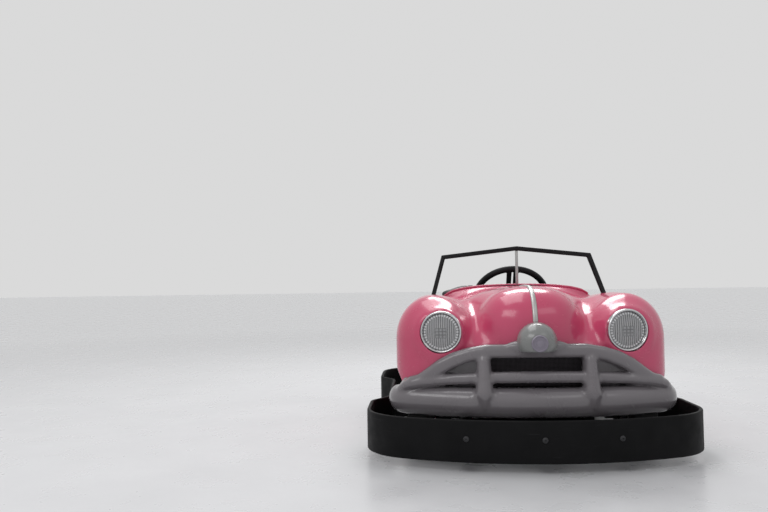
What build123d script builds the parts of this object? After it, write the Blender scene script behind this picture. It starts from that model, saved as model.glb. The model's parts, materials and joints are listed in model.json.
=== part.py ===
from build123d import *
import math
import os

# Children's amusement kart with a vintage convertible body, in millimetres.
# X runs across, Y from front (-) to rear (+), Z up from the floor.

# Bumper ring
ring_length = 1500.0
ring_half_width = 522.0
ring_waist_half_width = 465.0
ring_height = 122.0
ring_bottom = 29.0
ring_wall = 12.0
ring_front_bow = 1050.0
ring_rear_bow = 2200.0
ring_corner = 190.0
ring_waist_corner = 85.0
ring_front_lobe_end = -330.0
ring_front_waist = -235.0
ring_rear_waist = 235.0
ring_rear_lobe_start = 330.0
ring_bolt_spacing = 222.0
ring_bolt_z = 97.0

# Body shell
body_wall = 5.0
body_bottom = 132.0
front_split = -170.0
rear_split = 250.0
front_skirt_y = -500.0
front_skirt_z = 152.0

# Front fenders: an upright domed half-round, then an arched run back to the cockpit
fender_x = 305.0
fender_y = -455.0
fender_radius = 122.0
fender_top = 508.0
fender_crown = 118.0
fender_end_radius = 105.0
fender_end_top = 498.0
fender_end_crown = 95.0

# Hood: a round nose, then an arched run that widens to the cowl
nose_y = -455.0
nose_radius = 165.0
nose_top = 535.0
nose_crown = 145.0
# Hood sections behind the nose: Y, half width, top and crown; the last two flare out to the cowl lip
hood_stations = [
    (-300.0, 198.0, 545.0, 118.0),
    (-214.0, 222.0, 538.0, 88.0),
    (front_split, 262.0, 543.0, 50.0),
]

# Valley floor between hood and fenders
valley_front_y = -550.0
valley_front_z = 365.0
valley_rear_z = 484.0
valley_half_width = 300.0

# Side panels and rear body
side_mid_y = 40.0
side_mid_radius = 95.0
side_mid_top = 476.0
side_crown = 85.0
side_end_radius = 105.0
side_end_top = 474.0
rear_fender_x = 308.0
rear_fender_y = 565.0
rear_fender_radius = 118.0
rear_fender_top = 458.0
rear_fender_crown = 112.0
deck_front_y = 385.0
deck_rear_y = 690.0
deck_front_top = 486.0
# Deck sections: Y, half width, top and crown
deck_stations = [
    (deck_front_y, 255.0, deck_front_top, 45.0),
    (480.0, 240.0, 480.0, 70.0),
    (570.0, 222.0, 452.0, 95.0),
    (640.0, 208.0, 408.0, 110.0),
    (deck_rear_y, 198.0, 330.0, 90.0),
]
rear_valley_z = 330.0
rear_valley_y = 600.0
rear_valley_front_z = 448.0

# Wheels
axle_z = 130.0
tyre_radius = 130.0
tyre_width = 85.0
tyre_bead_radius = 60.0
rim_hub_radius = 27.0
rim_bore_radius = 10.0
bore_clearance = 0.05
front_axle_y = -396.0
front_track_half = 350.0
kingpin_x = 285.0
kingpin_radius = 8.0
rear_axle_y = 430.0
rear_track_half = 355.0
rear_axle_radius = 12.5
front_arch_radius = 158.0
front_arch_z = 142.0
rear_arch_radius = 178.0
rear_arch_z = 150.0

# Steering
wheel_centre_y = -5.0
wheel_centre_z = 491.0
column_angle = 38.0
steering_wheel_radius = 134.0
steering_rim_radius = 11.0
steering_spoke_radius = 6.5
column_radius = 10.0
column_foot_y = -386.0
pitman_arm = 30.0
pitman_pin_x = 16.0
knuckle_arm = 60.0
tie_rod_radius = 6.0
open_pivot_gap = 4.0

# Chassis
rail_x = 200.0
rail_size = 30.0
rail_wall = 2.5
rail_z = 75.0
rail_front = -600.0
rail_rear = 620.0
outrigger_x = 385.0
floor_thickness = 3.0
floor_front = -335.0
floor_rear = 378.0
tow_plate_thickness = 6.0
tow_hole_spacing = 100.0
tow_hole_radius = 5.5
tow_plate_y = 655.0

# Cockpit
liner_half_width = 300.0
liner_wall = 4.0
liner_top = 455.0
tunnel_half_width = 240.0
tunnel_top = 375.0
liner_step_y = -215.0
seat_front = 24.0
seat_base_height = 112.0
cushion_height = 65.0
seat_back_lean = 12.0
seat_back_height = 235.0
seat_back_thickness = 60.0

# Grille and bumper moulding
lower_roll_z = 184.0
lower_roll_height = 88.0
lower_roll_round = 41.0
lower_roll_end_radius = 42.0
lower_roll_front = -672.0
lower_roll_half_width = 450.0
lower_roll_bow = 900.0
lower_roll_corner = 105.0
middle_bar_z = 262.0
middle_bar_height = 32.0
middle_bar_depth = 40.0
middle_bar_corner = 13.0
middle_bar_drop = 26.0
middle_bar_end_x = 425.0
upper_bar_z = 339.0
upper_bar_depth = 46.0
upper_bar_corner = 15.0
upper_bar_set_forward = 24.0
# Sections of one half of the upper bar: X, middle Z and height
upper_bar_stations = [
    (0.0, upper_bar_z, 40.0),
    (150.0, 338.0, 40.0),
    (205.0, 327.0, 42.0),
    (252.0, 310.0, 46.0),
    (296.0, 286.0, 50.0),
    (330.0, 262.0, 46.0),
    (358.0, 246.0, 38.0),
    (392.0, 240.0, 32.0),
]
guard_x = 159.0
guard_top = 332.0
guard_tip = 166.0
guard_width = 44.0
fender_collar = 6.0
guard_depth = 60.0
opening_half_width = 139.0

# Lamps
lamp_x = 286.0
lamp_z = 395.0
lamp_face_y = -583.0
lamp_splay = 10.0
lamp_ring_radius = 65.5
lamp_glass_radius = 57.0
lamp_ring_depth = 30.0
lamp_lip = 10.0
lamp_housing_radius = 71.0
lamp_housing_depth = 90.0
tail_lamp_z = 253.0
tail_lamp_width = 60.0
tail_lamp_height = 100.0

# Rear plate and deck handle
plate_z = 235.0
plate_width = 300.0
plate_height = 120.0
plate_corner = 10.0
plate_depth = 22.0
plate_stand_off = 6.0
plate_hump_half = 70.0
plate_hump_height = 45.0
plate_hump_sink = 15.0
handle_z = 360.0
handle_half = 30.0
handle_post_inset = 4.0
handle_reach = 24.0
handle_radius = 8.0

# Nose dome, badge and hood strip
dome_radius = 60.0
dome_y = -637.0
dome_z = 365.0
badge_radius = 25.0
badge_thickness = 4.0
strip_width = 16.0
strip_height = 5.0

# Windscreen frame
screen_foot_x = 301.0
screen_foot_y = -228.0
screen_foot_z = 500.0
screen_corner_x = 261.0
screen_corner_y = -180.0
screen_corner_z = 641.0
screen_apex_y = -205.0
screen_apex_z = 668.0
screen_bar = 15.0
screen_depth = 20.0
screen_post = 9.5

# Fits
seat_gap = 0.3

os.makedirs("parts", exist_ok=True)
pieces = {}


def box(x0, x1, y0, y1, z0, z1):
    """Block between two corners."""
    centre = ((x0 + x1) / 2, (y0 + y1) / 2, (z0 + z1) / 2)
    return Pos(*centre) * Box(x1 - x0, y1 - y0, z1 - z0)


def tube_between(start, end, radius):
    """Round bar from one point to another."""
    a = Vector(*start)
    b = Vector(*end)
    plane = Plane(origin=a, z_dir=b - a)
    return extrude(plane * Circle(radius), (b - a).length)


def arch_face(y, centre_x, half_width, top, crown, inset, bottom):
    """Upright section: straight sides under a half ellipse."""
    a = half_width - inset
    b = crown - inset
    spring = top - crown
    with BuildSketch(Plane(origin=(centre_x, y, 0), x_dir=(1, 0, 0), z_dir=(0, -1, 0))) as section:
        with BuildLine():
            EllipticalCenterArc((0, spring), a, b, 0, arc_size=180)
            Polyline((-a, spring), (-a, bottom), (a, bottom), (a, spring))
        make_face()
    return section.sketch.face()


def dome_post(centre_x, centre_y, radius, top, crown, inset, bottom, turn):
    """Upright half-round post with an elliptical domed top."""
    a = radius - inset
    b = crown - inset
    spring = top - crown
    with BuildSketch(Plane(origin=(centre_x, centre_y, 0), x_dir=(1, 0, 0), z_dir=(0, -1, 0))) as half:
        with BuildLine():
            EllipticalCenterArc((0, spring), a, b, 0, arc_size=90)
            Polyline((0, spring + b), (0, bottom), (a, bottom), (a, spring))
        make_face()
    axis = Axis((centre_x, centre_y, 0), (0, 0, 1))
    return revolve(half.sketch.face(), axis, turn)


def arch_run(stations, inset, bottom):
    """Arched run through stations of y, x, half width, top and crown."""
    faces = [arch_face(y, x, a, top, crown, inset, bottom) for y, x, a, top, crown in stations]
    return loft(faces, ruled=True)


def plan_ring(inset):
    """Outline of the bumper ring seen from above, moved inwards by inset."""
    half = ring_half_width - inset
    waist = ring_waist_half_width - inset
    front = -ring_length / 2 + inset
    rear = ring_length / 2 - inset
    front_r = ring_front_bow - inset
    rear_r = ring_rear_bow - inset
    front_side = front + front_r - math.sqrt(front_r**2 - half**2)
    rear_side = rear - rear_r + math.sqrt(rear_r**2 - half**2)
    with BuildSketch() as plan:
        with BuildLine():
            ThreePointArc((-half, front_side), (0, front), (half, front_side))
            Polyline(
                (half, front_side),
                (half, ring_front_lobe_end),
                (waist, ring_front_waist),
                (waist, ring_rear_waist),
                (half, ring_rear_lobe_start),
                (half, rear_side),
            )
            ThreePointArc((half, rear_side), (0, rear), (-half, rear_side))
            Polyline(
                (-half, rear_side),
                (-half, ring_rear_lobe_start),
                (-waist, ring_rear_waist),
                (-waist, ring_front_waist),
                (-half, ring_front_lobe_end),
                (-half, front_side),
            )
        make_face()
        ends = plan.vertices().filter_by(lambda v: abs(v.Y) > abs(ring_rear_lobe_start) + 100)
        fillet(ends, ring_corner - inset)
        lobes = plan.vertices().filter_by(
            lambda v: abs(abs(v.X) - half) < 0.01 and abs(v.Y) < abs(ring_rear_lobe_start) + 1
        )
        fillet(lobes, ring_waist_corner - inset)
        waists = plan.vertices().filter_by(lambda v: abs(abs(v.X) - waist) < 0.01)
        fillet(waists, ring_waist_corner + inset)
    return plan.sketch.face()


# Bumper ring
ring_face = plan_ring(0) - plan_ring(ring_wall)
bumper_ring = Pos(0, 0, ring_bottom) * extrude(ring_face, ring_height, dir=(0, 0, 1))
pieces["bumper_ring"] = bumper_ring


# Body shells
def hood_solid(inset, bottom):
    """Round nose and the arched run behind it."""
    hood = dome_post(0, nose_y, nose_radius, nose_top, nose_crown, inset, bottom, -180)
    stations = [(nose_y, 0, nose_radius, nose_top, nose_crown)]
    stations += [(y, 0, half_width, top, crown) for y, half_width, top, crown in hood_stations]
    hood += arch_run(stations, inset, bottom)
    return hood


def lamp_plane(side, depth=0.0):
    """Plane square to a headlamp's axis, its z pointing out of the lamp."""
    angle = math.radians(lamp_splay)
    out = Vector(side * math.sin(angle), -math.cos(angle), 0)
    centre = Vector(side * lamp_x, lamp_face_y, lamp_z) - out * depth
    return Plane(origin=centre, x_dir=(math.cos(angle), side * math.sin(angle), 0), z_dir=out)


def front_solid(inset):
    """Hood, fenders and valley floor as one closed form."""
    bottom = body_bottom - (20 if inset else 0)
    end = front_split
    solid = hood_solid(inset, bottom)
    for side in (-1, 1):
        x = side * fender_x
        solid += dome_post(x, fender_y, fender_radius, fender_top, fender_crown, inset, bottom, -180)
        solid += arch_run(
            [
                (fender_y, x, fender_radius, fender_top, fender_crown),
                (end, x, fender_end_radius, fender_end_top, fender_end_crown),
            ],
            inset,
            bottom,
        )
    half = valley_half_width
    with BuildSketch(Plane.YZ) as valley:
        with BuildLine():
            Polyline(
                (valley_front_y + inset, bottom),
                (valley_front_y + inset, valley_front_z - inset),
                (end, valley_rear_z - inset),
                (end, bottom),
                close=True,
            )
        make_face()
    solid += extrude(valley.sketch.face(), half, both=True)
    for side in (-1, 1):
        solid += extrude(lamp_plane(side, lamp_housing_depth) * Circle(lamp_housing_radius - inset), lamp_housing_depth - lamp_lip - inset)
    return solid


def arch_cutters(y, radius, z):
    """Round wheel openings through both sides."""
    cut = Part()
    for side in (-1, 1):
        x0 = side * (fender_x + 20)
        x1 = x0 + side * 200
        plane = Plane(origin=(x0, y, z), z_dir=(side, 0, 0))
        cut += extrude(plane * Circle(radius), 200)
        cut += box(min(x0, x1), max(x0, x1), y - radius, y + radius, body_bottom - 40, z)
    return cut


front_outer = front_solid(0)
front_inner_form = front_solid(body_wall)
front_body = front_outer - front_inner_form
front_body -= box(-600, 600, front_split, front_split + 400, 0, 700)
front_body -= arch_cutters(front_axle_y, front_arch_radius, front_arch_z)
for side in (-1, 1):
    front_body -= extrude(lamp_plane(side, 80) * Circle(lamp_ring_radius + seat_gap / 2), 120)
front_body -= box(-opening_half_width - 8, opening_half_width + 8, -640, valley_front_y + 40, 215, 328)
front_body -= box(-600, 600, -800, front_skirt_y, 0, front_skirt_z)
pieces["front_body"] = front_body


def rear_solid(inset):
    """Rear fenders, deck and valley floor as one closed form."""
    bottom = body_bottom - (20 if inset else 0)
    start = rear_split
    sections = []
    for y, half_width, top, crown in deck_stations:
        shift = inset if y == deck_rear_y else 0
        sections.append(arch_face(y - shift, 0, half_width, top, crown, inset, bottom))
    solid = loft(sections)
    for side in (-1, 1):
        x = side * rear_fender_x
        solid += dome_post(
            x, rear_fender_y, rear_fender_radius, rear_fender_top, rear_fender_crown, inset, bottom, 180
        )
        solid += arch_run(
            [
                (start, side * fender_x, side_end_radius, side_end_top, side_crown),
                (rear_fender_y, x, rear_fender_radius, rear_fender_top, rear_fender_crown),
            ],
            inset,
            bottom,
        )
    with BuildSketch(Plane.YZ) as valley:
        with BuildLine():
            Polyline(
                (deck_front_y, bottom),
                (deck_front_y, rear_valley_front_z - inset),
                (rear_valley_y - inset, rear_valley_z - inset),
                (rear_valley_y - inset, bottom),
                close=True,
            )
        make_face()
    solid += extrude(valley.sketch.face(), valley_half_width, both=True)
    return solid


rear_outer = rear_solid(0)
rear_inner_form = rear_solid(body_wall)
rear_body = rear_outer - rear_inner_form
rear_body -= box(-600, 600, rear_split - 400, rear_split, 0, 700)
rear_body -= box(-liner_half_width, liner_half_width, rear_split - 10, deck_front_y, 0, 700)
rear_body -= arch_cutters(rear_axle_y, rear_arch_radius, rear_arch_z)
pieces["rear_body"] = rear_body

side_panels = Part()
for side in (-1, 1):
    stations = [
        (front_split, side * fender_x, fender_end_radius, fender_end_top, fender_end_crown),
        (side_mid_y, side * fender_x, side_mid_radius, side_mid_top, side_crown),
        (rear_split, side * fender_x, side_end_radius, side_end_top, side_crown),
    ]
    panel = arch_run(stations, 0, body_bottom) - arch_run(stations, body_wall, body_bottom - 20)
    inner = side * liner_half_width
    panel -= box(min(inner, inner - side * 200), max(inner, inner - side * 200), -400, 400, 0, 700)
    side_panels += panel
side_panels -= arch_cutters(front_axle_y, front_arch_radius, front_arch_z)
side_panels -= arch_cutters(rear_axle_y, rear_arch_radius, rear_arch_z)
pieces["side_panels"] = side_panels


# Chassis frame
def square_tube(start, end, size=rail_size, wall=rail_wall):
    """Square tube along one row axis."""
    a = Vector(*start)
    b = Vector(*end)
    plane = Plane(origin=a, z_dir=b - a)
    section = plane * (Rectangle(size, size) - Rectangle(size - 2 * wall, size - 2 * wall))
    return extrude(section, (b - a).length)


cross_members = [rail_front + 15, -364.0, -60.0, 240.0, rail_rear - 15]
frame = Part()
for side in (-1, 1):
    frame += square_tube((side * rail_x, rail_front, rail_z), (side * rail_x, rail_rear, rail_z))
inner_half = rail_x - rail_size / 2
for y in cross_members:
    frame += square_tube((-inner_half, y, rail_z), (inner_half, y, rail_z))
outer_face = rail_x + rail_size / 2
for side in (-1, 1):
    for y in (-150.0, 150.0):
        frame += square_tube((side * outer_face, y, rail_z), (side * outrigger_x, y, rail_z))
    frame += square_tube((side * outrigger_x, -170, rail_z), (side * outrigger_x, 170, rail_z))
tow = box(-80, 80, rail_rear - 15, tow_plate_y + 30, rail_z - tow_plate_thickness / 2, rail_z + tow_plate_thickness / 2)
tow -= box(-80, 80, rail_rear - 30, rail_rear, 0, 200)
for x in (-tow_hole_spacing / 2, tow_hole_spacing / 2):
    tow -= Pos(x, tow_plate_y, rail_z) * Cylinder(tow_hole_radius, 30)
frame += tow
pieces["chassis_frame"] = frame

floor_z = rail_z + rail_size / 2
# Ring mounts: bars from the frame to the inside of the ring
mounts = Part()
front_inner = -ring_length / 2 + ring_wall
rear_inner = ring_length / 2 - ring_wall


def ring_inner_y(x, bow):
    """Inner face of the ring at a distance x from the middle."""
    r = bow - ring_wall
    return r - math.sqrt(r**2 - x**2)


for x in (-ring_bolt_spacing, 0.0, ring_bolt_spacing):
    y = front_inner + ring_inner_y(abs(x) + 22, ring_front_bow)
    mounts += box(x - 20, x + 20, y, rail_front, rail_z - 15, rail_z + 15)
    mounts += box(x - 22, x + 22, y, y + 10, ring_bolt_z - 30, ring_bolt_z + 25)
mounts += box(-ring_bolt_spacing - 20, ring_bolt_spacing + 20, rail_front - 8, rail_front, rail_z - 15, rail_z + 15)
for x in (-ring_bolt_spacing, ring_bolt_spacing):
    y = rear_inner - ring_inner_y(abs(x) + 22, ring_rear_bow)
    mounts += box(x - 20, x + 20, rail_rear, y, rail_z - 15, rail_z + 15)
    mounts += box(x - 22, x + 22, y - 10, y, ring_bolt_z - 30, ring_bolt_z + 25)
mounts += box(-ring_bolt_spacing - 20, -90, rail_rear, rail_rear + 8, rail_z - 15, rail_z + 15)
mounts += box(90, ring_bolt_spacing + 20, rail_rear, rail_rear + 8, rail_z - 15, rail_z + 15)
side_inner = ring_waist_half_width - ring_wall
for side in (-1, 1):
    for y in (-120.0, 120.0):
        x0 = side * (outrigger_x + rail_size / 2)
        x1 = side * side_inner
        mounts += box(min(x0, x1), max(x0, x1), y - 18, y + 18, rail_z - 15, rail_z + 15)
        xa = side * (side_inner - 10)
        mounts += box(min(xa, x1), max(xa, x1), y - 22, y + 22, ring_bolt_z - 30, ring_bolt_z + 25)
pieces["ring_mounts"] = mounts

# Front axle beam with forked ends
fork_gap = 46.0
fork_wall = 9.0
beam = tube_between((-(kingpin_x - 34), front_axle_y, axle_z), (kingpin_x - 34, front_axle_y, axle_z), 15)
for side in (-1, 1):
    beam += box(
        min(side * (kingpin_x - 34), side * (kingpin_x - 26)),
        max(side * (kingpin_x - 34), side * (kingpin_x - 26)),
        front_axle_y - 16,
        front_axle_y + 16,
        axle_z - fork_gap / 2 - fork_wall,
        axle_z + fork_gap / 2 + fork_wall,
    )
    for z in (axle_z - fork_gap / 2 - fork_wall, axle_z + fork_gap / 2):
        ear = box(
            min(side * (kingpin_x - 30), side * kingpin_x),
            max(side * (kingpin_x - 30), side * kingpin_x),
            front_axle_y - 16,
            front_axle_y + 16,
            z,
            z + fork_wall,
        )
        ear += Pos(side * kingpin_x, front_axle_y, z + fork_wall / 2) * Cylinder(16, fork_wall)
        beam += ear
    beam += Pos(side * kingpin_x, front_axle_y, axle_z) * Cylinder(kingpin_radius, fork_gap + 2 * fork_wall + 8)
for side in (-1, 1):
    beam += box(
        side * rail_x - 15, side * rail_x + 15, front_axle_y - 18, front_axle_y + 18, floor_z, axle_z - 10
    )
pieces["front_axle_beam"] = beam

# Knuckles: barrel on the kingpin, stub axle, steering arm
for side, name in ((-1, "right"), (1, "left")):
    barrel = Pos(side * kingpin_x, front_axle_y, axle_z) * Cylinder(15, fork_gap - 1.0)
    stub_end = side * (front_track_half + 52)
    stub = tube_between(
        (side * kingpin_x, front_axle_y, axle_z), (stub_end, front_axle_y, axle_z), rim_bore_radius
    )
    shoulder = tube_between(
        (side * kingpin_x, front_axle_y, axle_z),
        (side * (front_track_half - 46), front_axle_y, axle_z),
        15,
    )
    arm_x = side * (kingpin_x - 10)
    arm_y = front_axle_y + knuckle_arm
    arm_start = (side * kingpin_x, front_axle_y + 10, axle_z + 12)
    arm = tube_between(arm_start, (arm_x, arm_y, axle_z + 12), 7)
    arm += Pos(arm_x, arm_y, axle_z + 12) * Cylinder(10, 12)
    arm += Pos(arm_x, arm_y, axle_z + 22) * Cylinder(4, 30)
    knuckle = barrel + stub + shoulder + arm
    knuckle -= Pos(side * kingpin_x, front_axle_y, axle_z) * Cylinder(kingpin_radius + bore_clearance, 200)
    pieces[f"knuckle_{name}"] = knuckle


# Wheels
def tyre(x, y):
    """Tyre from a short table of half its section: X from the middle and radius."""
    half_section = [
        (35.0, tyre_bead_radius),
        (35.0, tyre_bead_radius + 6),
        (tyre_width / 2 - 1, tyre_bead_radius + 16),
        (tyre_width / 2, tyre_radius - 40),
        (tyre_width / 2 - 4, tyre_radius - 16),
        (tyre_width / 2 - 13, tyre_radius - 4),
        (tyre_width / 2 - 26, tyre_radius),
    ]
    with BuildSketch(Plane.XY) as section:
        with BuildLine():
            Polyline(*half_section, *[(-u, r) for u, r in reversed(half_section)], close=True)
        make_face()
    return Pos(x, y, axle_z) * revolve(section.sketch.face(), Axis.X, 360)


def rim(x, y, side, bore):
    """Dished rim with flanges, a disc and a hub."""
    half = tyre_width / 2
    bead = 36.0
    r = tyre_bead_radius
    with BuildSketch(Plane.XY) as section:
        with BuildLine():
            Polyline(
                (-bead - 3, r + 5),
                (-bead, r + 5),
                (-bead, r),
                (bead, r),
                (bead, r + 5),
                (bead + 3, r + 5),
                (bead + 3, r - 4),
                (14, r - 4),
                (8, r - 12),
                (8, rim_hub_radius),
                (30, rim_hub_radius),
                (30, bore),
                (-34, bore),
                (-34, rim_hub_radius),
                (3, rim_hub_radius),
                (3, r - 12),
                (-3, r - 4),
                (-bead - 3, r - 4),
                close=True,
            )
        make_face()
    solid = revolve(section.sketch.face(), Axis.X, 360)
    for index in range(5):
        angle = math.radians(72 * index)
        solid -= Rot(0, 90, 0) * Pos(37 * math.cos(angle), 37 * math.sin(angle), 0) * Cylinder(6, 60)
    if side < 0:
        solid = mirror(solid, Plane.YZ)
    return Pos(x, y, axle_z) * solid


for side, name in ((-1, "right"), (1, "left")):
    x = side * front_track_half
    pieces[f"front_tyre_{name}"] = tyre(x, front_axle_y)
    pieces[f"front_rim_{name}"] = rim(x, front_axle_y, side, rim_bore_radius + bore_clearance)
    x = side * rear_track_half
    pieces[f"rear_tyre_{name}"] = tyre(x, rear_axle_y)
    pieces[f"rear_rim_{name}"] = rim(x, rear_axle_y, side, rear_axle_radius)

# Rear axle, bearings and drive unit
axle_half = rear_track_half + 50
rear_axle = tube_between((-axle_half, rear_axle_y, axle_z), (axle_half, rear_axle_y, axle_z), rear_axle_radius)
for side in (-1, 1):
    rear_axle += tube_between(
        (side * (rear_track_half - 60), rear_axle_y, axle_z),
        (side * (rear_track_half - 34), rear_axle_y, axle_z),
        24,
    )
pieces["rear_axle"] = rear_axle

bearings = Part()
for side in (-1, 1):
    x = side * rail_x
    block = box(x - 14, x + 14, rear_axle_y - 26, rear_axle_y + 26, floor_z, axle_z)
    block += tube_between((x - 14, rear_axle_y, axle_z), (x + 14, rear_axle_y, axle_z), 26)
    block -= tube_between((x - 20, rear_axle_y, axle_z), (x + 20, rear_axle_y, axle_z), rear_axle_radius + bore_clearance)
    bearings += block
pieces["axle_bearings"] = bearings

drive = tube_between((-70, rear_axle_y, axle_z), (40, rear_axle_y, axle_z), 48)
motor_y = rear_axle_y + 112
motor_z = axle_z + 32
drive += tube_between((-60, motor_y, motor_z), (95, motor_y, motor_z), 48)
drive += box(-70, -10, rear_axle_y, motor_y, axle_z - 5, axle_z + 56)
drive += box(-60, 80, motor_y - 20, rail_rear - 4, floor_z, motor_z - 40)
drive -= tube_between((-120, rear_axle_y, axle_z), (120, rear_axle_y, axle_z), rear_axle_radius + bore_clearance)
pieces["drive_unit"] = drive

# Steering column line
angle = math.radians(column_angle)
column_up = Vector(0, math.cos(angle), math.sin(angle))
column_down_normal = Vector(0, math.sin(angle), -math.cos(angle))
wheel_centre = Vector(0, wheel_centre_y, wheel_centre_z)
foot_length = (wheel_centre_y - column_foot_y) / math.cos(angle)
column_foot = wheel_centre - column_up * foot_length
wheel_plane = Plane(origin=wheel_centre, x_dir=(1, 0, 0), z_dir=column_up)


# Cockpit liner: upright walls round the cockpit and the leg space
def liner_plan(grow):
    """Outline of the liner seen from above."""
    w = liner_half_width + grow
    t = tunnel_half_width + grow
    with BuildSketch() as plan:
        with BuildLine():
            Polyline(
                (-w, floor_rear + grow),
                (-w, liner_step_y - grow),
                (-t, liner_step_y - grow),
                (-t, floor_front - grow),
                (t, floor_front - grow),
                (t, liner_step_y - grow),
                (w, liner_step_y - grow),
                (w, floor_rear + grow),
                close=True,
            )
        make_face()
    return plan.sketch.face()


liner_foot = floor_z
liner = Pos(0, 0, liner_foot) * extrude(liner_plan(0), liner_top - liner_foot, dir=(0, 0, 1))
liner -= Pos(0, 0, liner_foot - 1) * extrude(liner_plan(-liner_wall), 600, dir=(0, 0, 1))
liner -= box(-400, 400, floor_front - 20, liner_step_y + liner_wall, tunnel_top, 600)
liner -= tube_between(tuple(column_foot), tuple(wheel_centre), column_radius + 14)
pieces["cockpit_liner"] = liner

floor_inner = liner_half_width - liner_wall
tunnel_inner = tunnel_half_width - liner_wall
floor_pan = box(-floor_inner, floor_inner, liner_step_y + liner_wall, floor_rear - liner_wall, floor_z, floor_z + floor_thickness)
floor_pan += box(-tunnel_inner, tunnel_inner, floor_front + liner_wall, liner_step_y + liner_wall, floor_z, floor_z + floor_thickness)
pieces["floor_pan"] = floor_pan

# Dash panel, cut to the inside of the hood
dash = box(-290, 290, front_split - 8, front_split - 2, 392, 560) & front_inner_form
pieces["dash_panel"] = dash

# Steering wheel
steering_wheel = wheel_plane * Torus(steering_wheel_radius, steering_rim_radius)
steering_wheel += extrude(Plane(origin=wheel_centre - column_up * 26, x_dir=(1, 0, 0), z_dir=column_up) * Circle(30), 26)
for sign in (-1, 1):
    inner = wheel_centre - column_up * 12 + column_down_normal * (-sign * 20)
    outer = wheel_centre + column_down_normal * (-sign * steering_wheel_radius)
    for x in (-13, 13):
        steering_wheel += tube_between(
            (inner.X + x, inner.Y, inner.Z), (outer.X + x, outer.Y, outer.Z), steering_spoke_radius
        )
steering_wheel -= extrude(
    Plane(origin=wheel_centre - column_up * 40, x_dir=(1, 0, 0), z_dir=column_up) * Circle(column_radius), 34
)
pieces["steering_wheel"] = steering_wheel

column_start = column_foot
column_end = wheel_centre - column_up * 6
column = tube_between(tuple(column_start), tuple(column_end), column_radius)
pitman_plane = Plane(origin=column_foot - column_up * 6, x_dir=(1, 0, 0), z_dir=column_up)
pitman = extrude(pitman_plane * (Pos(0, pitman_arm / 2) * Rectangle(2 * pitman_pin_x + 22, pitman_arm + 26)), 6)
column += pitman
pieces["steering_column"] = column

# Column bearings: one under the dash, one on the front cross member
upper_s = (wheel_centre_y - (front_split - 5)) / math.cos(angle)
upper_bearing = wheel_centre - column_up * upper_s
bearing = extrude(Plane(origin=upper_bearing - column_up * 14, x_dir=(1, 0, 0), z_dir=column_up) * Circle(19), 28)
bearing += box(-15, 15, front_split - 14, front_split + 4, upper_bearing.Z, 392)
lower_bearing = column_foot + column_up * 46
lower = extrude(Plane(origin=lower_bearing - column_up * 12, x_dir=(1, 0, 0), z_dir=column_up) * Circle(19), 24)
lower += box(-12, 12, lower_bearing.Y, floor_front - liner_wall - 2, floor_z, lower_bearing.Z)
bearing += lower
bearing -= extrude(
    Plane(origin=column_foot - column_up * 20, x_dir=(1, 0, 0), z_dir=column_up) * Circle(column_radius + bore_clearance),
    foot_length + 60,
)
pieces["column_bearings"] = bearing

# Tie rods: outer eye on the knuckle arm, inner end beside the pitman plate
pin_centre = column_foot + column_down_normal * pitman_arm
for side, name in ((-1, "right"), (1, "left")):
    outer = Vector(side * (kingpin_x - 10), front_axle_y + knuckle_arm, axle_z + 28)
    inner = Vector(side * pitman_pin_x, pin_centre.Y, pin_centre.Z) - column_up * (6 + open_pivot_gap + 5)
    rod = tube_between(tuple(outer), tuple(inner), tie_rod_radius)
    rod += Pos(*outer) * Cylinder(11, 12)
    rod += extrude(Plane(origin=inner - column_up * 5, x_dir=(1, 0, 0), z_dir=column_up) * Circle(10), 10)
    rod -= Pos(*outer) * Cylinder(4 + bore_clearance, 60)
    pieces[f"tie_rod_{name}"] = rod

# Pedals: plate, arm and foot, one each side of the column
pedals = Part()
for x in (-110.0, 110.0):
    pedal = box(x - 35, x + 35, floor_front + 60, floor_front + 66, 190, 280)
    pedal += box(x - 6, x + 6, floor_front + 50, floor_front + 60, floor_z + floor_thickness, 270)
    pedal += box(x - 25, x + 25, floor_front + 40, floor_front + 70, floor_z + floor_thickness, floor_z + 10)
    pedals += pedal
pieces["pedals"] = pedals

# Seat
seat_floor = floor_z + floor_thickness
seat_top = seat_floor + seat_base_height
seat_rear = floor_rear - liner_wall
seat_base = box(-floor_inner + 10, floor_inner - 10, seat_front, seat_rear, seat_floor, seat_top)
seat_base -= box(-floor_inner + 16, floor_inner - 16, seat_front + 6, seat_rear - 6, seat_floor - 1, seat_top - 6)
pieces["seat_base"] = seat_base
battery = box(-190, 190, seat_front + 30, seat_rear - 40, seat_floor, seat_floor + 100)
pieces["battery_pack"] = battery

lean = math.radians(seat_back_lean)
back_foot_y = seat_rear - seat_back_height * math.sin(lean) - seat_back_thickness / 2 - 4
cushion_rear = back_foot_y - seat_back_thickness / 2 - 3
cushion = box(-floor_inner + 14, floor_inner - 14, seat_front - 6, cushion_rear, seat_top + seat_gap, seat_top + cushion_height)
cushion = fillet(cushion.edges().filter_by(Axis.Z), 40)
cushion = fillet(cushion.faces().sort_by(Axis.Z)[-1].edges(), 22)
pieces["seat_cushion"] = cushion

back = Pos(0, 0, seat_back_height / 2) * Box(2 * floor_inner - 28, seat_back_thickness, seat_back_height)
back = fillet(back.edges().filter_by(Axis.Y), 45)
back = fillet(back.faces().sort_by(Axis.Y)[0].edges(), 20)
back = Pos(0, back_foot_y, seat_top + 16) * Rot(-seat_back_lean, 0, 0) * back
pieces["seat_back"] = back

roll = tube_between((-225, 0, 0), (225, 0, 0), 26)
roll += Pos(-225, 0, 0) * Sphere(26)
roll += Pos(225, 0, 0) * Sphere(26)
pieces["folded_top"] = Pos(0, deck_front_y + 16, deck_front_top + 26) * roll - rear_outer


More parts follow.
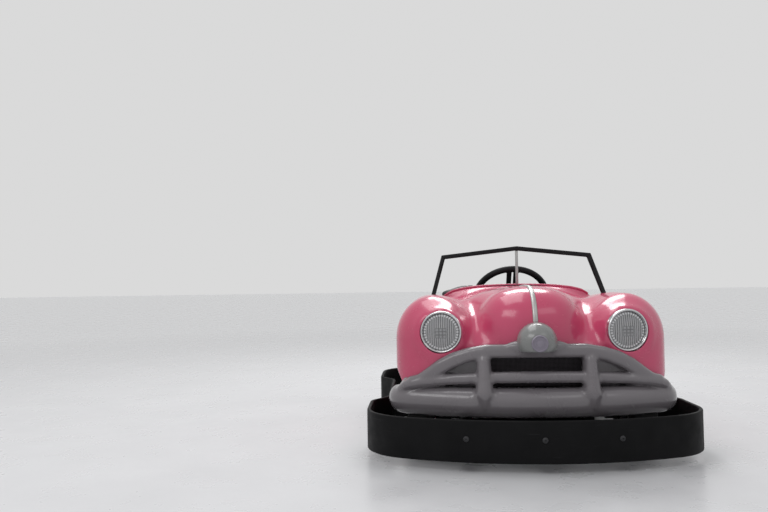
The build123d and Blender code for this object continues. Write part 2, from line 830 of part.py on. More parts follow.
# Grille and bumper moulding
def rounded_bar(path, height, depth, corner):
    """Rounded bar swept along a path in front of the body."""
    start = path @ 0
    tangent = path % 0
    plane = Plane(origin=start, x_dir=tangent.cross(Vector(0, 0, 1)), z_dir=tangent)
    section = plane * RectangleRounded(depth, height, corner)
    return sweep(section, path=path)


def bow_y(x, front, radius):
    """Bowed front line at a distance x from the middle."""
    return front + radius - math.sqrt(radius**2 - x**2)


# Lower roll: the bowed plan with rounded ends, its edges rounded over almost to a full roll
bow_centre_y = lower_roll_front + lower_roll_bow
corner_x = lower_roll_half_width - lower_roll_corner
corner_reach = lower_roll_bow - lower_roll_corner
corner_y = bow_centre_y - math.sqrt(corner_reach**2 - corner_x**2)
turn = math.asin(corner_x / corner_reach)
half_turn = (turn + math.pi / 2) / 2
bow_end = (lower_roll_bow * math.sin(turn), bow_centre_y - lower_roll_bow * math.cos(turn))
bend = (corner_x + lower_roll_corner * math.sin(half_turn), corner_y - lower_roll_corner * math.cos(half_turn))
end_x = lower_roll_half_width - lower_roll_end_radius
inner_x = end_x - lower_roll_end_radius
with BuildSketch() as roll_plan:
    with BuildLine():
        ThreePointArc((-bow_end[0], bow_end[1]), (0, lower_roll_front), bow_end)
        for side in (-1, 1):
            side_point = (side * lower_roll_half_width, corner_y)
            inner_point = (side * inner_x, corner_y)
            ThreePointArc((side * bow_end[0], bow_end[1]), (side * bend[0], bend[1]), side_point)
            ThreePointArc(side_point, (side * end_x, corner_y + lower_roll_end_radius), inner_point)
        Line((-inner_x, corner_y), (inner_x, corner_y))
    make_face()
lower_roll = Pos(0, 0, lower_roll_z - lower_roll_height / 2) * extrude(
    roll_plan.sketch.face(), lower_roll_height, dir=(0, 0, 1)
)
lower_roll = fillet(lower_roll.faces().sort_by(Axis.Z)[-1].edges(), lower_roll_round)
lower_roll = fillet(lower_roll.faces().sort_by(Axis.Z)[0].edges(), lower_roll_round)

bar_front = lower_roll_front + 14
middle_end_y = bow_y(middle_bar_end_x, bar_front + middle_bar_depth / 2, lower_roll_bow) + 6
middle_path = ThreePointArc(
    (-middle_bar_end_x, middle_end_y, middle_bar_z - middle_bar_drop),
    (0, bar_front + middle_bar_depth / 2, middle_bar_z),
    (middle_bar_end_x, middle_end_y, middle_bar_z - middle_bar_drop),
)
middle_bar = rounded_bar(middle_path.trim(0.5, 1), middle_bar_height, middle_bar_depth, middle_bar_corner)

upper_front = bar_front + 10 + upper_bar_depth / 2
upper_sections = []
for x, z, height in [(-x, z, h) for x, z, h in reversed(upper_bar_stations[1:])] + upper_bar_stations:
    y = bow_y(abs(x), upper_front, lower_roll_bow) - upper_bar_set_forward * (x / upper_bar_stations[-1][0]) ** 2
    plane = Plane(origin=(x, y, z), x_dir=(0, 1, 0), z_dir=(1, 0, 0))
    upper_sections.append(plane * RectangleRounded(upper_bar_depth, height, upper_bar_corner))
upper_bar = loft(upper_sections, ruled=True)

# Backing of the moulding, bowed like the bars, open between the guards
back_face_y = upper_front + upper_bar_depth / 2
with BuildSketch() as backing_plan:
    with BuildLine():
        outer_end = bow_y(380, back_face_y - 10, lower_roll_bow)
        inner_end = outer_end + 12
        ThreePointArc((-380, outer_end), (0, back_face_y - 10), (380, outer_end))
        Line((380, outer_end), (380, inner_end))
        ThreePointArc((380, inner_end), (0, back_face_y + 2), (-380, inner_end))
        Line((-380, inner_end), (-380, outer_end))
    make_face()
backing = Pos(0, 0, lower_roll_z) * extrude(backing_plan.sketch.face(), upper_bar_z - lower_roll_z, dir=(0, 0, 1))
with BuildSketch(Plane(origin=(0, 0, 0), x_dir=(1, 0, 0), z_dir=(0, -1, 0))) as arch_mask:
    outline = [(x, z) for x, z, _ in upper_bar_stations]
    with BuildLine():
        Polyline(
            (0, lower_roll_z),
            (outline[-1][0], lower_roll_z),
            *reversed(outline),
            *[(-x, z) for x, z in outline[1:]],
            (-outline[-1][0], lower_roll_z),
            close=True,
        )
    make_face()
mask = extrude(arch_mask.sketch.face(), 900, dir=(0, -1, 0))
for x in (-fender_x, fender_x):
    collar = Pos(x, fender_y, lower_roll_z) * extrude(
        Circle(fender_radius + fender_collar), upper_bar_z - lower_roll_z, dir=(0, 0, 1)
    )
    backing += collar & box(-500, 500, -800, valley_front_y + fender_collar, 0, 600)
backing &= mask
backing -= box(-opening_half_width, opening_half_width, -720, -560, middle_bar_z, upper_bar_z - 8)
backing -= box(-opening_half_width, opening_half_width, -720, -560, 222, middle_bar_z)

guards = []
for side in (-1, 1):
    guard_front = bow_y(guard_x, lower_roll_front, lower_roll_bow) - 4
    guard_sections = []
    for z, width, front_y in (
        (guard_tip, 12.0, guard_front - 1),
        (lower_roll_z + 6, guard_width - 8, guard_front - 6),
        (lower_roll_z + 28, guard_width + 14, guard_front - 10),
        (lower_roll_z + 52, guard_width + 4, guard_front - 5),
        (middle_bar_z + 6, guard_width, guard_front + 4),
        (guard_top - 14, guard_width - 2, guard_front + 18),
        (guard_top - 5, guard_width - 10, guard_front + 23),
        (guard_top, guard_width - 26, guard_front + 29),
    ):
        plane = Plane(origin=(side * guard_x, front_y + guard_depth / 2, z), x_dir=(1, 0, 0), z_dir=(0, 0, 1))
        guard_sections.append(plane * Ellipse(width / 2, guard_depth / 2))
    guards.append(loft(guard_sections, ruled=True))
# The plan of the body's upright front walls, which the moulding is seated on
with BuildSketch() as front_plan:
    with Locations((0, nose_y)):
        Circle(nose_radius)
    with Locations((-fender_x, fender_y), (fender_x, fender_y)):
        Circle(fender_radius)
    with Locations((0, (valley_front_y + nose_y) / 2)):
        Rectangle(2 * valley_half_width, nose_y - valley_front_y)
front_walls = Pos(0, 0, body_bottom - 40) * extrude(
    front_plan.sketch.face(), valley_front_z - body_bottom + 40, dir=(0, 0, 1)
)
housings = Part()
for side in (-1, 1):
    housing = lamp_plane(side, lamp_housing_depth) * Circle(lamp_housing_radius)
    housings += extrude(housing, lamp_housing_depth - lamp_lip)
upper_bar -= housings
moulding = Part()
for bar in [lower_roll, backing, middle_bar, upper_bar, guards[1]]:
    half = (bar & box(0, 600, -800, -400, 0, 500)) - front_walls
    moulding += half
    moulding += mirror(half, Plane.YZ)
pieces["grille_bumper"] = moulding

mesh_y = bow_y(opening_half_width + 6, back_face_y + 2, lower_roll_bow) + seat_gap
mesh_bottom = lower_roll_z + lower_roll_height / 2 + seat_gap
mesh = box(-opening_half_width - 6, opening_half_width + 6, mesh_y, mesh_y + 2, mesh_bottom, upper_bar_z - 14)
pieces["grille_mesh"] = mesh

# Nose dome, badge and hood strip
badge_y = dome_y - math.sqrt(dome_radius**2 - badge_radius**2)
dome = Pos(0, dome_y, dome_z) * Sphere(dome_radius)
dome -= box(-70, 70, dome_y - 80, dome_y + 80, dome_z - 70, upper_bar_z)
dome -= box(-badge_radius - 5, badge_radius + 5, dome_y - 80, badge_y, upper_bar_z, dome_z + 40)
dome -= hood_solid(0, body_bottom)
dome -= upper_bar
pieces["nose_dome"] = max(dome.solids(), key=lambda s: s.volume)
badge = Pos(0, badge_y, dome_z) * Rot(90, 0, 0) * Pos(0, 0, badge_thickness / 2) * Cylinder(badge_radius, badge_thickness)
pieces["nose_badge"] = badge

strip_slab = box(-strip_width / 2, strip_width / 2, dome_y, screen_apex_y - 12, dome_z + dome_radius + 4, 600)
strip = (hood_solid(-strip_height, body_bottom) & strip_slab) - front_outer
pieces["hood_strip"] = max(strip.solids(), key=lambda s: s.volume)

# Headlamps
rings = Part()
lenses = Part()
bowls = Part()
for side in (-1, 1):
    ring = extrude(lamp_plane(side, lamp_ring_depth) * (Circle(lamp_ring_radius) - Circle(lamp_glass_radius)), lamp_ring_depth)
    rings += ring
    lens = extrude(lamp_plane(side, 12) * Circle(lamp_glass_radius - 0.1), 8)
    lenses += lens
    bowl = extrude(lamp_plane(side, 48) * Circle(lamp_glass_radius - 0.1), 36)
    bowl -= extrude(lamp_plane(side, 44) * Circle(lamp_glass_radius - 4), 32)
    bowls += bowl
pieces["headlamp_rings"] = rings
pieces["headlamp_lenses"] = lenses
pieces["headlamp_reflectors"] = bowls


# Windscreen frame from mitred bars
def screen_section(x, y, z, miter_x, miter_z):
    """Upright section of the screen bar, with its depth along Y."""
    half = screen_depth / 2
    points = [
        (x - miter_x, y - half, z - miter_z),
        (x + miter_x, y - half, z + miter_z),
        (x + miter_x, y + half, z + miter_z),
        (x - miter_x, y + half, z - miter_z),
    ]
    return Face(Wire.make_polygon([Vector(*p) for p in points], close=True))


def unit(dx, dz):
    length = math.hypot(dx, dz)
    return dx / length, dz / length


half_bar = screen_bar / 2
post_dir = unit(screen_foot_x - screen_corner_x, screen_foot_z - screen_corner_z)
top_dir = unit(screen_corner_x, screen_corner_z - screen_apex_z)
post_normal = (-post_dir[1], post_dir[0])
top_normal = (-top_dir[1], top_dir[0])
corner_sum = (post_normal[0] + top_normal[0], post_normal[1] + top_normal[1])
corner_scale = half_bar / (0.5 * (corner_sum[0] ** 2 + corner_sum[1] ** 2)) * 1.0
screen = Part()
for side in (-1, 1):
    foot = screen_section(side * screen_foot_x, screen_foot_y, screen_foot_z, side * half_bar, 0)
    corner = screen_section(
        side * screen_corner_x,
        screen_corner_y,
        screen_corner_z,
        side * corner_sum[0] * corner_scale,
        corner_sum[1] * corner_scale,
    )
    apex = screen_section(0, screen_apex_y, screen_apex_z, 0, half_bar / abs(top_normal[1]))
    screen += loft([foot, corner], ruled=True)
    screen += loft([corner, apex], ruled=True)
screen -= front_outer
pieces["windscreen_frame"] = screen

post = box(
    -screen_post / 2, screen_post / 2, screen_apex_y - 6, screen_apex_y + 6, 500, screen_apex_z
)
post -= screen
post -= front_outer
pieces["windscreen_post"] = max(post.solids(), key=lambda s: s.volume)

# Tail lamps, rear plate and deck handle
lamps = Part()
for side in (-1, 1):
    x = side * rear_fender_x
    plane = Plane(origin=(x, rear_fender_y + rear_fender_radius - 30, tail_lamp_z), x_dir=(1, 0, 0), z_dir=(0, 1, 0))
    lens = extrude(plane * Ellipse(tail_lamp_width / 2, tail_lamp_height / 2), 40)
    lamps += lens - rear_outer
pieces["tail_lamps"] = lamps

plate_face_y = deck_rear_y + plate_stand_off
plate_plane = Plane(origin=(0, plate_face_y, plate_z), x_dir=(-1, 0, 0), z_dir=(0, 1, 0))
plate = extrude(plate_plane * RectangleRounded(plate_width, plate_height, plate_corner), -plate_depth)
hump_outline = Pos(0, plate_height / 2 - plate_hump_sink) * Ellipse(plate_hump_half, plate_hump_height)
hump = extrude(plate_plane * hump_outline, -plate_depth)
plate = plate + hump - rear_outer
pieces["rear_plate"] = max(plate.solids(), key=lambda s: s.volume)

handle_y = deck_rear_y + handle_reach
handle = tube_between((0, handle_y, handle_z - handle_half), (0, handle_y, handle_z + handle_half), handle_radius)
for z in (handle_z - handle_half + handle_post_inset, handle_z + handle_half - handle_post_inset):
    handle += tube_between((0, handle_y - 90, z), (0, handle_y, z), handle_radius - 1)
handle -= rear_outer
pieces["deck_handle"] = handle

for node, solid in pieces.items():
    export_step(solid, f"parts/{node}.step")
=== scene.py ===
import json
import math

import bmesh
import bpy
import numpy as np
from mathutils import Matrix, Vector
from mathutils.bvhtree import BVHTree

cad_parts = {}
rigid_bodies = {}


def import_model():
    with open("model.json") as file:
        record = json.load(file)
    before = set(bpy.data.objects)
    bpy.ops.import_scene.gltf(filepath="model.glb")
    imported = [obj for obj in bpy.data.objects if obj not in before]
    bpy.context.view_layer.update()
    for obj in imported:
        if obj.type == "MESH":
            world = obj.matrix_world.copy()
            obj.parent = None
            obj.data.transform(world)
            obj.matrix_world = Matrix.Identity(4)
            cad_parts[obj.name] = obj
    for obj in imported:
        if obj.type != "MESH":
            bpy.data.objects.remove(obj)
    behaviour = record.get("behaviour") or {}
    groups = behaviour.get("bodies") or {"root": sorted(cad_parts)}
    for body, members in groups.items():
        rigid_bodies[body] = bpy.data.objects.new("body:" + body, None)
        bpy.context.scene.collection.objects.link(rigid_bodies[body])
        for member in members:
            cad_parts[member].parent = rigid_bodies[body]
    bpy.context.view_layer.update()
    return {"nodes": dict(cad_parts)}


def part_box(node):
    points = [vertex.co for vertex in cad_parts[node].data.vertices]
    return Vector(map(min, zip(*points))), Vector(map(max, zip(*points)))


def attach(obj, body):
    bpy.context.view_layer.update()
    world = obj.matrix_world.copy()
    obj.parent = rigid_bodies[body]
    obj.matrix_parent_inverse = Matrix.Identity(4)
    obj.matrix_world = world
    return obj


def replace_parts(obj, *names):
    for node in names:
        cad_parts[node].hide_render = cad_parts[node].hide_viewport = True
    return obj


# Children's amusement kart with a vintage convertible body, in metres.
# X runs across, Y from front (-) to rear (+), Z up from the floor.

for leftover in list(bpy.data.objects):
    bpy.data.objects.remove(leftover)
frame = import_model()
nodes = frame["nodes"]
both_sides = (-1, 1)


# Objects, copies and placing
def placed(name, bm):
    """An object that holds a mesh."""
    mesh = bpy.data.meshes.new(name)
    bm.to_mesh(mesh)
    bm.free()
    obj = bpy.data.objects.new(name, mesh)
    bpy.context.scene.collection.objects.link(obj)
    return obj


def piece(name, bm, body, slot, sharp, material=None):
    """A finished piece that rides on a body, in its slot's material or one of its own."""
    bmesh.ops.recalc_face_normals(bm, faces=bm.faces)
    obj = placed(name, bm)
    obj.data.shade_smooth()
    obj.data.set_sharp_from_angle(angle=math.radians(sharp))
    obj.data.materials.append(material or materials[slot])
    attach(obj, body)
    return obj


def evaluated(obj):
    """Mesh of an object with its modifiers worked in."""
    graph = bpy.context.evaluated_depsgraph_get()
    graph.update()
    bm = bmesh.new()
    bm.from_object(obj, graph)
    return bm


def discard(*objects):
    """Removes helper objects."""
    for obj in objects:
        bpy.data.objects.remove(obj)


def remeshed(bm, voxel):
    """One closed skin round everything in a mesh."""
    obj = placed("remesh_blank", bm)
    remesh = obj.modifiers.new("Remesh", "REMESH")
    remesh.mode = "VOXEL"
    remesh.voxel_size = voxel
    skin = evaluated(obj)
    discard(obj)
    return skin


def cad_copy(node):
    """Copy of a CAD node's mesh with its seams merged."""
    bm = bmesh.new()
    bm.from_mesh(nodes[node].data)
    bmesh.ops.remove_doubles(bm, verts=bm.verts, dist=0.00002)
    return bm


def moved(bm, verts, matrix):
    """Moves vertices by a matrix."""
    bmesh.ops.transform(bm, matrix=matrix, verts=verts)


def axis_frame(origin, axis):
    """Matrix that stands local Z along an axis at a point."""
    turn = Vector(axis).to_track_quat("Z", "Y").to_matrix().to_4x4()
    return Matrix.Translation(origin) @ turn


def around_axis(place, radius, angle, height):
    """Point at a radius, an angle and a height about local Z."""
    return place @ Vector((radius * math.cos(angle), radius * math.sin(angle), height))


def on_circle(index, count, start=0.0):
    """Angle of one of several places evenly round a circle."""
    return 2 * math.pi * index / count + start


# Shapes and what rounds or closes them
def block(bm, low, high):
    """Box between two corners."""
    middle = (Vector(low) + Vector(high)) / 2
    span = Vector(high) - Vector(low)
    matrix = Matrix.Translation(middle) @ Matrix.Diagonal((*span, 1))
    return bmesh.ops.create_cube(bm, size=1, matrix=matrix)["verts"]


def drum(bm, radius, depth, segments, matrix, top_radius=None):
    """Closed round or many-sided drum, tapered where its top radius is given."""
    bmesh.ops.create_cone(
        bm, cap_ends=True, segments=segments, radius1=radius,
        radius2=radius if top_radius is None else top_radius, depth=depth, matrix=matrix,
    )


def ellipsoid(bm, centre, radii, around, up):
    """Round or stretched ball."""
    matrix = Matrix.Translation(centre) @ Matrix.Diagonal((*radii, 1))
    bmesh.ops.create_uvsphere(bm, u_segments=around, v_segments=up, radius=1, matrix=matrix)


def circle(bm, segments, radius=1, matrix=None):
    """Ring of vertices without a face."""
    return bmesh.ops.create_circle(
        bm, cap_ends=False, segments=segments, radius=radius, matrix=matrix or Matrix()
    )["verts"]


def rounded(bm, edges, width, segments):
    """Rounds edges over."""
    bmesh.ops.bevel(
        bm, geom=list(edges), offset=width, segments=segments, profile=0.5, affect="EDGES", material=-1,
        clamp_overlap=True,
    )


def smoothed(bm, verts, passes):
    """Evens out some of a mesh's vertices, pass after pass."""
    for _ in range(passes):
        bmesh.ops.smooth_vert(bm, verts=verts, factor=0.5, use_axis_x=True, use_axis_y=True, use_axis_z=True)


def walled(bm, rings):
    """Walls from each ring of vertices to the next."""
    for one, two in zip(rings, rings[1:]):
        for i in range(len(one)):
            j = (i + 1) % len(one)
            bm.faces.new((one[i], one[j], two[j], two[i]))


def lens_closed(bm, rings, middle, rear):
    """Walls between a lens's rings, and fans to the middle of its face and of its back."""
    walled(bm, rings)
    face, back = rings[0], rings[-1]
    for i in range(len(face)):
        j = (i + 1) % len(face)
        bm.faces.new((middle, face[i], face[j]))
        bm.faces.new((rear, back[j], back[i]))


def turned(bm, profile, matrix, steps):
    """Closed profile of (radius, height) pairs turned full circle about local Z."""
    start = [bm.verts.new((r, 0, h)) for r, h in profile]
    edges = [bm.edges.new((start[i], start[(i + 1) % len(start)])) for i in range(len(start))]
    bmesh.ops.spin(
        bm, geom=start + edges, cent=(0, 0, 0), axis=(0, 0, 1), angle=2 * math.pi, steps=steps, use_merge=True
    )
    linked, reach = set(start), list(start)
    while reach:
        vert = reach.pop()
        for edge in vert.link_edges:
            other = edge.other_vert(vert)
            if other not in linked:
                linked.add(other)
                reach.append(other)
    moved(bm, list(linked), matrix)


def swept(bm, path, radius, segments=16):
    """Round bar through a list of points; radius may be a list."""
    rings = []
    for index, point in enumerate(path):
        before = Vector(path[max(index - 1, 0)])
        after = Vector(path[min(index + 1, len(path) - 1)])
        thick = radius[index] if isinstance(radius, (list, tuple)) else radius
        rings.append(circle(bm, segments, thick, axis_frame(point, (after - before).normalized())))
    walled(bm, rings)
    bm.faces.new(list(reversed(rings[0])))
    bm.faces.new(rings[-1])


def hex_bolt(bm, point, axis, radius, height, washer):
    """Bolt head with a chamfered hexagon on a thin washer."""
    washer_height = 0.0016
    layers = (
        (24, washer, washer * 0.94, washer_height, washer_height / 2),
        (6, radius, radius, height * 0.8, washer_height + height * 0.4),
        (6, radius, radius * 0.8, height * 0.2, washer_height + height * 0.9),
    )
    for segments, low, high, depth, middle in layers:
        drum(bm, low, depth, segments, axis_frame(point, axis) @ Matrix.Translation((0, 0, middle)), high)


def dome_bolt(bm, point, axis, radius):
    """Round button head with a recessed socket."""
    profile = [
        (0.0001, 0.0012), (radius * 0.38, 0.0012), (radius * 0.4, 0.0042), (radius * 0.7, 0.0036),
        (radius * 0.93, 0.0022), (radius, 0.0004), (radius, -0.001), (0.0001, -0.001),
    ]
    turned(bm, profile, axis_frame(point, axis), steps=20)


def softened(node, body, slot, width, segments, angle, sharp):
    """Copy of a CAD node with merged seams and rounded edges, standing for it."""
    bm = cad_copy(node)
    bmesh.ops.dissolve_limit(bm, angle_limit=math.radians(0.6), verts=bm.verts, edges=bm.edges)
    edges = [
        e for e in bm.edges if len(e.link_faces) == 2 and e.calc_face_angle(0) > math.radians(angle)
    ]
    rounded(bm, edges, width, segments)
    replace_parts(piece(node + "_softened", bm, body, slot, sharp), node)


def relaxed(bm, node, name, body, slot, voxel, passes, grow):
    """Mesh remeshed and smoothed into one moulded piece, standing for a CAD node."""
    bm = remeshed(bm, voxel)
    smoothed(bm, bm.verts, passes)
    bm.normal_update()
    for vert in bm.verts:
        vert.co += vert.normal * grow
    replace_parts(piece(name, bm, body, slot, 50), node)


# Materials
class Finish:
    """A procedural material built on object coordinates."""

    def __init__(self, name):
        self.material = bpy.data.materials.new(name)
        self.material.use_nodes = True
        self.tree = self.material.node_tree
        self.shader = self.tree.nodes["Principled BSDF"]
        self.coords = self.tree.nodes.new("ShaderNodeTexCoord").outputs["Object"]

    def link(self, source, target):
        """Joins an output to an input."""
        self.tree.links.new(source, target)

    def node(self, kind, **values):
        """A new node with constant values on some of its sockets."""
        node = self.tree.nodes.new(kind)
        for name, value in values.items():
            node.inputs[name.replace("_", " ")].default_value = value
        return node

    def set(self, **values):
        """Constant values of the shader's sockets."""
        for name, value in values.items():
            self.shader.inputs[name.replace("_", " ")].default_value = value

    def stretched(self, scale):
        """Coordinates with a scale for each axis."""
        node = self.node("ShaderNodeMapping", Scale=scale)
        self.link(self.coords, node.inputs["Vector"])
        return node.outputs["Vector"]

    def noise(self, scale, detail, roughness, stretch=None):
        """Cloudy noise."""
        node = self.node("ShaderNodeTexNoise", Scale=scale, Detail=detail, Roughness=roughness)
        self.link(self.stretched(stretch) if stretch else self.coords, node.inputs["Vector"])
        return node.outputs["Fac"]

    def cells(self, scale, feature="F1"):
        """Distance to the nearest of many scattered points."""
        node = self.node("ShaderNodeTexVoronoi", Scale=scale)
        node.feature = feature
        self.link(self.coords, node.inputs["Vector"])
        return node.outputs["Distance"]

    def ranged(self, value, low, high, out_low=0.0, out_high=1.0):
        """A value spread from one range onto another."""
        node = self.node("ShaderNodeMapRange", From_Min=low, From_Max=high, To_Min=out_low, To_Max=out_high)
        self.link(value, node.inputs["Value"])
        return node.outputs["Result"]

    def product(self, first, *others):
        """Values multiplied together; each may be a number or a socket."""
        for other in others:
            node = self.node("ShaderNodeMath")
            node.operation = "MULTIPLY"
            self.link(first, node.inputs[0])
            if isinstance(other, float):
                node.inputs[1].default_value = other
            else:
                self.link(other, node.inputs[1])
            first = node.outputs["Value"]
        return first

    def part_of(self, letter):
        """One of the three coordinates."""
        node = self.node("ShaderNodeSeparateXYZ")
        self.link(self.coords, node.inputs["Vector"])
        return node.outputs[letter]

    def mixed(self, factor, one, two):
        """Two colours mixed; each may be written out or a socket."""
        node = self.node("ShaderNodeMix")
        node.data_type = "RGBA"
        self.link(factor, node.inputs["Factor"])
        for value, socket in ((one, node.inputs["A"]), (two, node.inputs["B"])):
            if isinstance(value, tuple):
                socket.default_value = (*value, 1.0)
            else:
                self.link(value, socket)
        return node.outputs["Result"]

    def colour(self, source):
        """Gives the shader its colour."""
        self.link(source, self.shader.inputs["Base Color"])

    def roughness(self, source):
        """Gives the shader its roughness."""
        self.link(source, self.shader.inputs["Roughness"])

    def bump(self, height, strength, distance):
        """Fine relief of the surface."""
        node = self.node("ShaderNodeBump", Strength=strength, Distance=distance)
        self.link(height, node.inputs["Height"])
        self.link(node.outputs["Normal"], self.shader.inputs["Normal"])


def toned(colour, share, lift=0.0):
    """Colour made darker or paler by a share, with a little grey added."""
    return tuple(c * share + lift for c in colour)


def gelcoat(name, colour, shade, rough, chips=0.0):
    """Glossy moulded fibreglass: faint mottle, orange peel, rubbed patches and fine chips."""
    f = Finish(name)
    mottle = f.ranged(f.noise(3.5, 3, 0.6), 0.35, 0.7)
    base = f.mixed(mottle, colour, shade)
    dust = f.ranged(f.noise(38, 6, 0.7), 0.62, 0.8, 0.0, 0.22)
    base = f.mixed(dust, base, tuple(min(1.0, c) for c in toned(colour, 1.25, 0.05)))
    if chips:
        # Chips gather low on the outer front corner at negative X
        specks = f.ranged(f.cells(150), 0.06, 0.1, 1.0, 0.0)
        patches = f.ranged(f.noise(9, 2, 0.5), 0.56, 0.64)
        outer = f.ranged(f.part_of("X"), -0.33, -0.37)
        low = f.ranged(f.part_of("Z"), 0.47, 0.42)
        front = f.ranged(f.part_of("Y"), -0.40, -0.46)
        base = f.mixed(f.product(outer, low, front, patches, chips, specks), base, (0.72, 0.42, 0.50))
    f.colour(base)
    f.roughness(f.ranged(f.noise(14, 5, 0.65), 0.3, 0.75, rough * 0.75, rough * 1.5))
    f.set(Coat_Weight=0.4, Coat_Roughness=0.1, Specular_IOR_Level=0.42)
    f.bump(f.noise(160, 2, 0.5), 0.03, 0.0004)
    return f.material


def satin_plastic(name, colour, rough, scuffs=0.0):
    """Moulded plastic with a fine grain and dull scuffs."""
    f = Finish(name)
    base = f.mixed(f.ranged(f.noise(6, 4, 0.6), 0.3, 0.75), colour, toned(colour, 1.5, 0.003))
    if scuffs:
        streaks = f.ranged(f.noise(30, 4, 0.6, stretch=(0.5, 0.5, 9)), 0.62, 0.74)
        patches = f.ranged(f.noise(5, 2, 0.5), 0.52, 0.62)
        base = f.mixed(f.product(streaks, patches, scuffs), base, (0.06, 0.06, 0.063))
    f.colour(base)
    f.roughness(f.ranged(f.noise(22, 5, 0.6), 0.3, 0.72, rough - 0.08, rough + 0.12))
    f.set(Specular_IOR_Level=0.12)
    f.bump(f.noise(900, 2, 0.5), 0.12, 0.0004)
    return f.material


def painted_steel(name, colour, rough, worn):
    """Sprayed steel: thin orange peel, spots rubbed to a paler tone."""
    f = Finish(name)
    rub = f.product(f.ranged(f.noise(26, 6, 0.7), 0.60, 0.72), worn)
    base = f.mixed(f.ranged(f.noise(8, 3, 0.5), 0.3, 0.7), colour, toned(colour, 0.75))
    f.colour(f.mixed(rub, base, toned(colour, 1.8, 0.04)))
    f.roughness(f.ranged(f.noise(40, 5, 0.6), 0.3, 0.7, rough - 0.1, rough + 0.14))
    f.set(Specular_IOR_Level=0.22)
    f.bump(f.noise(320, 3, 0.6), 0.14, 0.0004)
    return f.material


def bright_metal(name, colour, rough, grain, fine, dull=0.1):
    """Bare or plated metal with a directional grain and dull specks."""
    f = Finish(name)
    spots = f.ranged(f.noise(55, 6, 0.7), 0.60, 0.74, 0.0, dull)
    f.colour(f.mixed(spots, colour, toned(colour, 0.45)))
    f.roughness(f.ranged(f.noise(fine, 4, 0.6, stretch=grain), 0.3, 0.75, rough * 0.7, rough * 1.6))
    f.set(Metallic=1.0)
    f.bump(f.noise(fine * 2, 2, 0.5, stretch=grain), 0.1, 0.0003)
    return f.material


def cast_metal(name, colour, rough):
    """Sand cast housing: coarse pimpled skin, darker in the hollows."""
    f = Finish(name)
    grain = f.noise(420, 4, 0.65)
    f.colour(f.mixed(f.ranged(grain, 0.35, 0.65), toned(colour, 0.6), colour))
    f.roughness(f.ranged(f.noise(30, 4, 0.6), 0.3, 0.7, rough - 0.1, rough + 0.1))
    f.set(Metallic=0.4)
    f.bump(grain, 0.35, 0.0008)
    return f.material


def rubber(name, colour, rough):
    """Rubber with a dusty bloom and a fine pitted skin."""
    f = Finish(name)
    bloom = f.ranged(f.noise(16, 6, 0.7), 0.45, 0.75, 0.0, 0.6)
    f.colour(f.mixed(bloom, colour, toned(colour, 2.2, 0.012)))
    f.roughness(f.ranged(f.noise(45, 4, 0.6), 0.3, 0.7, rough - 0.1, rough + 0.1))
    f.bump(f.noise(600, 3, 0.6), 0.2, 0.0005)
    return f.material


def vinyl(name, colour, rough):
    """Grained upholstery vinyl: pebbled cells and shiny worn patches."""
    f = Finish(name)
    pebble = f.cells(420, "SMOOTH_F1")
    f.colour(f.mixed(f.ranged(pebble, 0.1, 0.6), toned(colour, 0.7), toned(colour, 1.5, 0.004)))
    f.roughness(f.ranged(f.noise(12, 5, 0.6), 0.35, 0.7, rough - 0.12, rough + 0.12))
    f.bump(pebble, 0.3, 0.0005)
    return f.material


def tinted_lens(name, colour, rough, haze_depth, clear):
    """Coloured lamp lens with faint haze."""
    f = Finish(name)
    haze = f.ranged(f.noise(60, 4, 0.6), 0.4, 0.75, 0.0, haze_depth)
    f.colour(f.mixed(haze, colour, toned(colour, 0.8)))
    f.roughness(f.ranged(f.noise(90, 3, 0.6), 0.3, 0.75, rough * 0.6, rough * 2.0))
    f.set(Transmission_Weight=clear, IOR=1.48)
    f.bump(f.noise(500, 2, 0.5), 0.08, 0.0003)
    return f.material


def pressed_glass(name):
    """Fluted lamp glass: painted highlights along the pressed ridges, which let less light through, and a
    painted dark tint in the clear hollows.
    """
    f = Finish(name)
    mark = f.node("ShaderNodeAttribute")
    mark.attribute_name = "painted_glint"
    glint = mark.outputs["Fac"]
    # Painted light: the hollows' dark tone paints shade through the glass and the ridges' pale tone paints
    # highlights on them; the haze tone is a faint grey haze
    painted_shade_tone, glint_tone, haze_tone = (0.20, 0.20, 0.21), (0.93, 0.93, 0.94), (0.62, 0.62, 0.62)
    haze = f.ranged(f.noise(60, 4, 0.6), 0.4, 0.75, 0.0, 0.2)
    f.colour(f.mixed(haze, f.mixed(glint, painted_shade_tone, glint_tone), haze_tone))
    f.roughness(f.ranged(f.noise(90, 3, 0.6), 0.3, 0.75, 0.06, 0.16))
    f.link(f.ranged(glint, 0.0, 1.0, 0.72, 0.22), f.shader.inputs["Transmission Weight"])
    f.set(IOR=1.48)
    f.bump(f.noise(500, 2, 0.5), 0.08, 0.0003)
    return f.material


